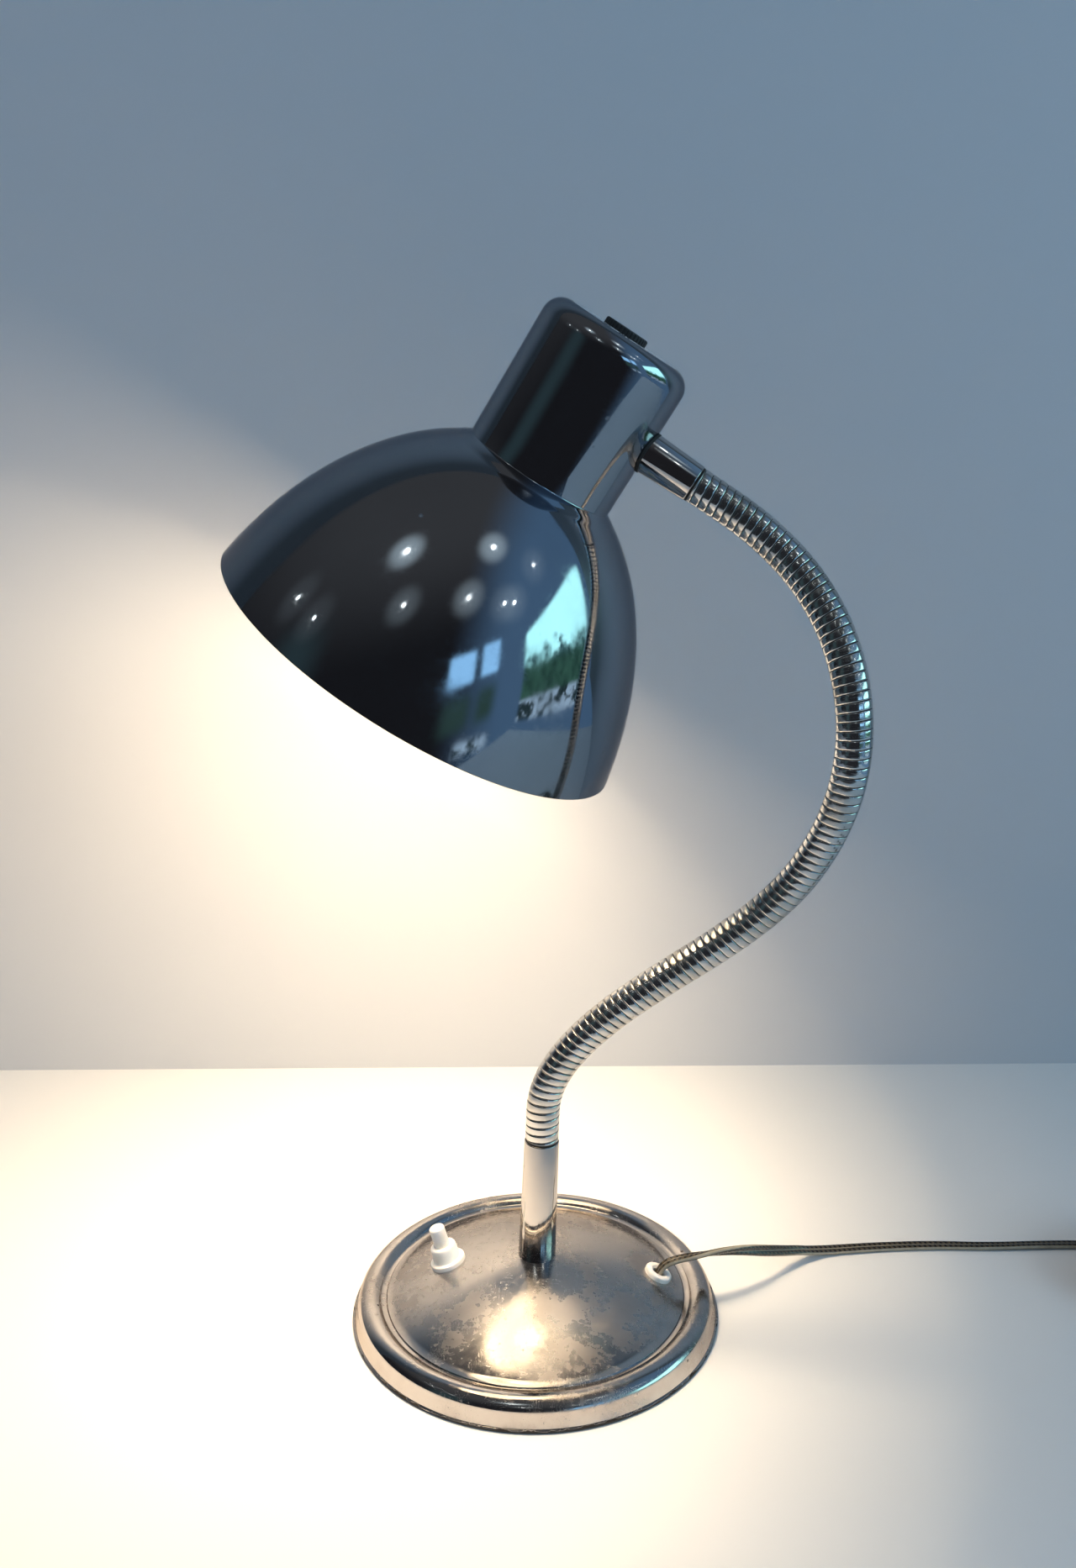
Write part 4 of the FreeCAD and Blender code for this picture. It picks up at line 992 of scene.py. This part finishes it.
wall_y = 0.236
wall_half_width = 1.6
wall_height = 1.6
table_left, table_right, table_front, table_back = -1.3, 0.66, -0.53, 1.3
stage_plane("table_top", [(table_left, table_front, 0), (table_right, table_front, 0),
                          (table_left, table_back, 0), (table_right, table_back, 0)],
            rgb(0.72, 0.70, 0.66), rgb(0.69, 0.67, 0.63), rgb(0.60, 0.60, 0.60), (0, 0, 0))
stage_plane("wall", [(-wall_half_width, wall_y, 0), (wall_half_width, wall_y, 0),
                     (-wall_half_width, wall_y, wall_height), (wall_half_width, wall_y, wall_height)],
            rgb(0.47, 0.475, 0.48), rgb(0.455, 0.46, 0.465), rgb(0.12, 0.12, 0.12), (0.1, wall_y, 0.25))

# Room and light
# What the plating mirrors: a dim room with a tall window at the right, a small one behind the viewer, and
# little ceiling lamps. Soft daylight from two sides and the lamp's own bulb light the table and the wall.
world = bpy.data.worlds.new("room")
bpy.context.scene.world = world
world.use_nodes = True
background = world.node_tree.nodes["Background"]
outward = Value(world.node_tree, world.node_tree.nodes.new("ShaderNodeTexCoord").outputs["Generated"])


def direction_of(azimuth, elevation):
    """Direction from the lamp, with azimuth in degrees from the viewer towards the right."""
    a, e = math.radians(azimuth), math.radians(elevation)
    return Vector((math.sin(a) * math.cos(e), -math.cos(a) * math.cos(e), math.sin(e)))


def patch(azimuth, elevation, half_width, half_height, soft=0.02):
    """1 inside an upright rectangle of the room as seen from the lamp, and 0 outside; sizes in degrees."""
    ahead = direction_of(azimuth, elevation)
    across = direction_of(azimuth + 90, 0)
    near = outward.dot(ahead)
    mask = near.between(0.05, 0.10)
    for way, half in ((across, half_width), (ahead.cross(across), half_height)):
        offset = outward.dot(way)
        edge = math.tan(math.radians(half))
        mask = mask * (offset.math("DIVIDE", offset, near)).absolute().between(edge + soft, edge - soft)
    return mask


height = outward.dot(Vector((0, 0, 1)))
side_light = outward.dot(Vector((1, 0, 0)))
leaves = outward.noise(14.0, 4.0, 0.6)
room = height.between(0.25, 0.95).mix(rgb(0.017, 0.018, 0.022), rgb(0.075, 0.080, 0.088))
room = side_light.between(0.30, 0.75).mix(room, rgb(0.11, 0.22, 0.38))
room = patch(-52, 10, 9, 20, 0.14).mix(room, rgb(0.040, 0.072, 0.085))
terrace = leaves.between(0.46, 0.54).mix(rgb(0.03, 0.06, 0.07), rgb(0.60, 0.85, 1.10))
lawn = leaves.between(0.3, 0.7).mix(rgb(0.035, 0.10, 0.08), rgb(0.07, 0.20, 0.15))
trees = (leaves + height * 2.2).between(0.42, 0.66).mix(rgb(0.05, 0.14, 0.17), rgb(1.2, 2.6, 2.7))
garden = height.between(-0.05, 0.02).mix(lawn, trees)
garden = height.between(-0.17, -0.20).mix(garden, terrace)
under_lintel = outward.dot(direction_of(89, 22).cross(direction_of(55.5, 9.5))).between(-0.01, 0.01)
room = (patch(75.5, 3, 19.5, 20) * under_lintel).mix(room, garden)
for azimuth_at, elevation_at, half in ((26.0, 6.0, 5.6), (38.8, 6.6, 3.8)):
    room = patch(azimuth_at, elevation_at, half, 5.0).mix(room, rgb(0.60, 1.25, 2.0))
    room = patch(azimuth_at, elevation_at - 14, half, 5.0, 0.05).mix(room, rgb(0.05, 0.11, 0.10))
room = patch(36, -19, 7, 2, 0.03).mix(room, terrace)
for azimuth_at, elevation_at, size, glare in (
        (-18.3, 56.6, 1.0, 0.5), (44.2, 48.3, 0.9, 0.45), (26.0, 31.3, 0.7, 0.25), (-7.6, 35.4, 0.6, 0.12),
        (66.1, 32.8, 0.5, 0.08), (44.6, 23.9, 0.6, 0.10), (50.0, 22.6, 0.6, 0.10), (-69.8, 38.2, 0.45, 0.04),
        (-52.4, 34.1, 0.45, 0.04)):
    ahead = direction_of(azimuth_at, elevation_at)
    off_centre = outward.dot(ahead)
    haze = off_centre.between(0.985, 1.0)
    room = (haze * haze * glare).mix(room, rgb(1.0, 1.25, 1.4))
    room = off_centre.between(math.cos(math.radians(size + 0.15)), math.cos(math.radians(size))).mix(
        room, rgb(12.0, 13.0, 13.0))
path = outward.node("LightPath", {}, {})
seen = Value(path.tree, path.socket.node.outputs["Is Camera Ray"])
mirrored = Value(path.tree, path.socket.node.outputs["Is Glossy Ray"])
view = mirrored.mix(seen.mix(rgb(0.21, 0.34, 0.50), rgb(0.42, 0.46, 0.50)), room)
world.node_tree.links.new(view.socket, background.inputs["Color"])


def soft_light(name, place, target, size, energy, colour):
    bpy.ops.object.light_add(type="AREA")
    light = bpy.context.object
    light.name = name
    light.data.shape = "DISK"
    light.data.size = size
    light.data.energy = energy
    light.data.color = colour
    light.visible_glossy = False
    turn = (Vector(place) - Vector(target)).to_track_quat("Z", "Y")
    light.matrix_world = Matrix.Translation(place) @ turn.to_matrix().to_4x4()
    light.select_set(False)


soft_light("daylight", (1.4, -1.0, 0.9), (0, 0, 0.1), 1.0, 9.0, (0.50, 0.76, 1.0))
soft_light("room_light", (-0.8, -1.6, 1.8), (0, 0, 0.1), 1.6, 3.0, (0.95, 0.97, 1.0))
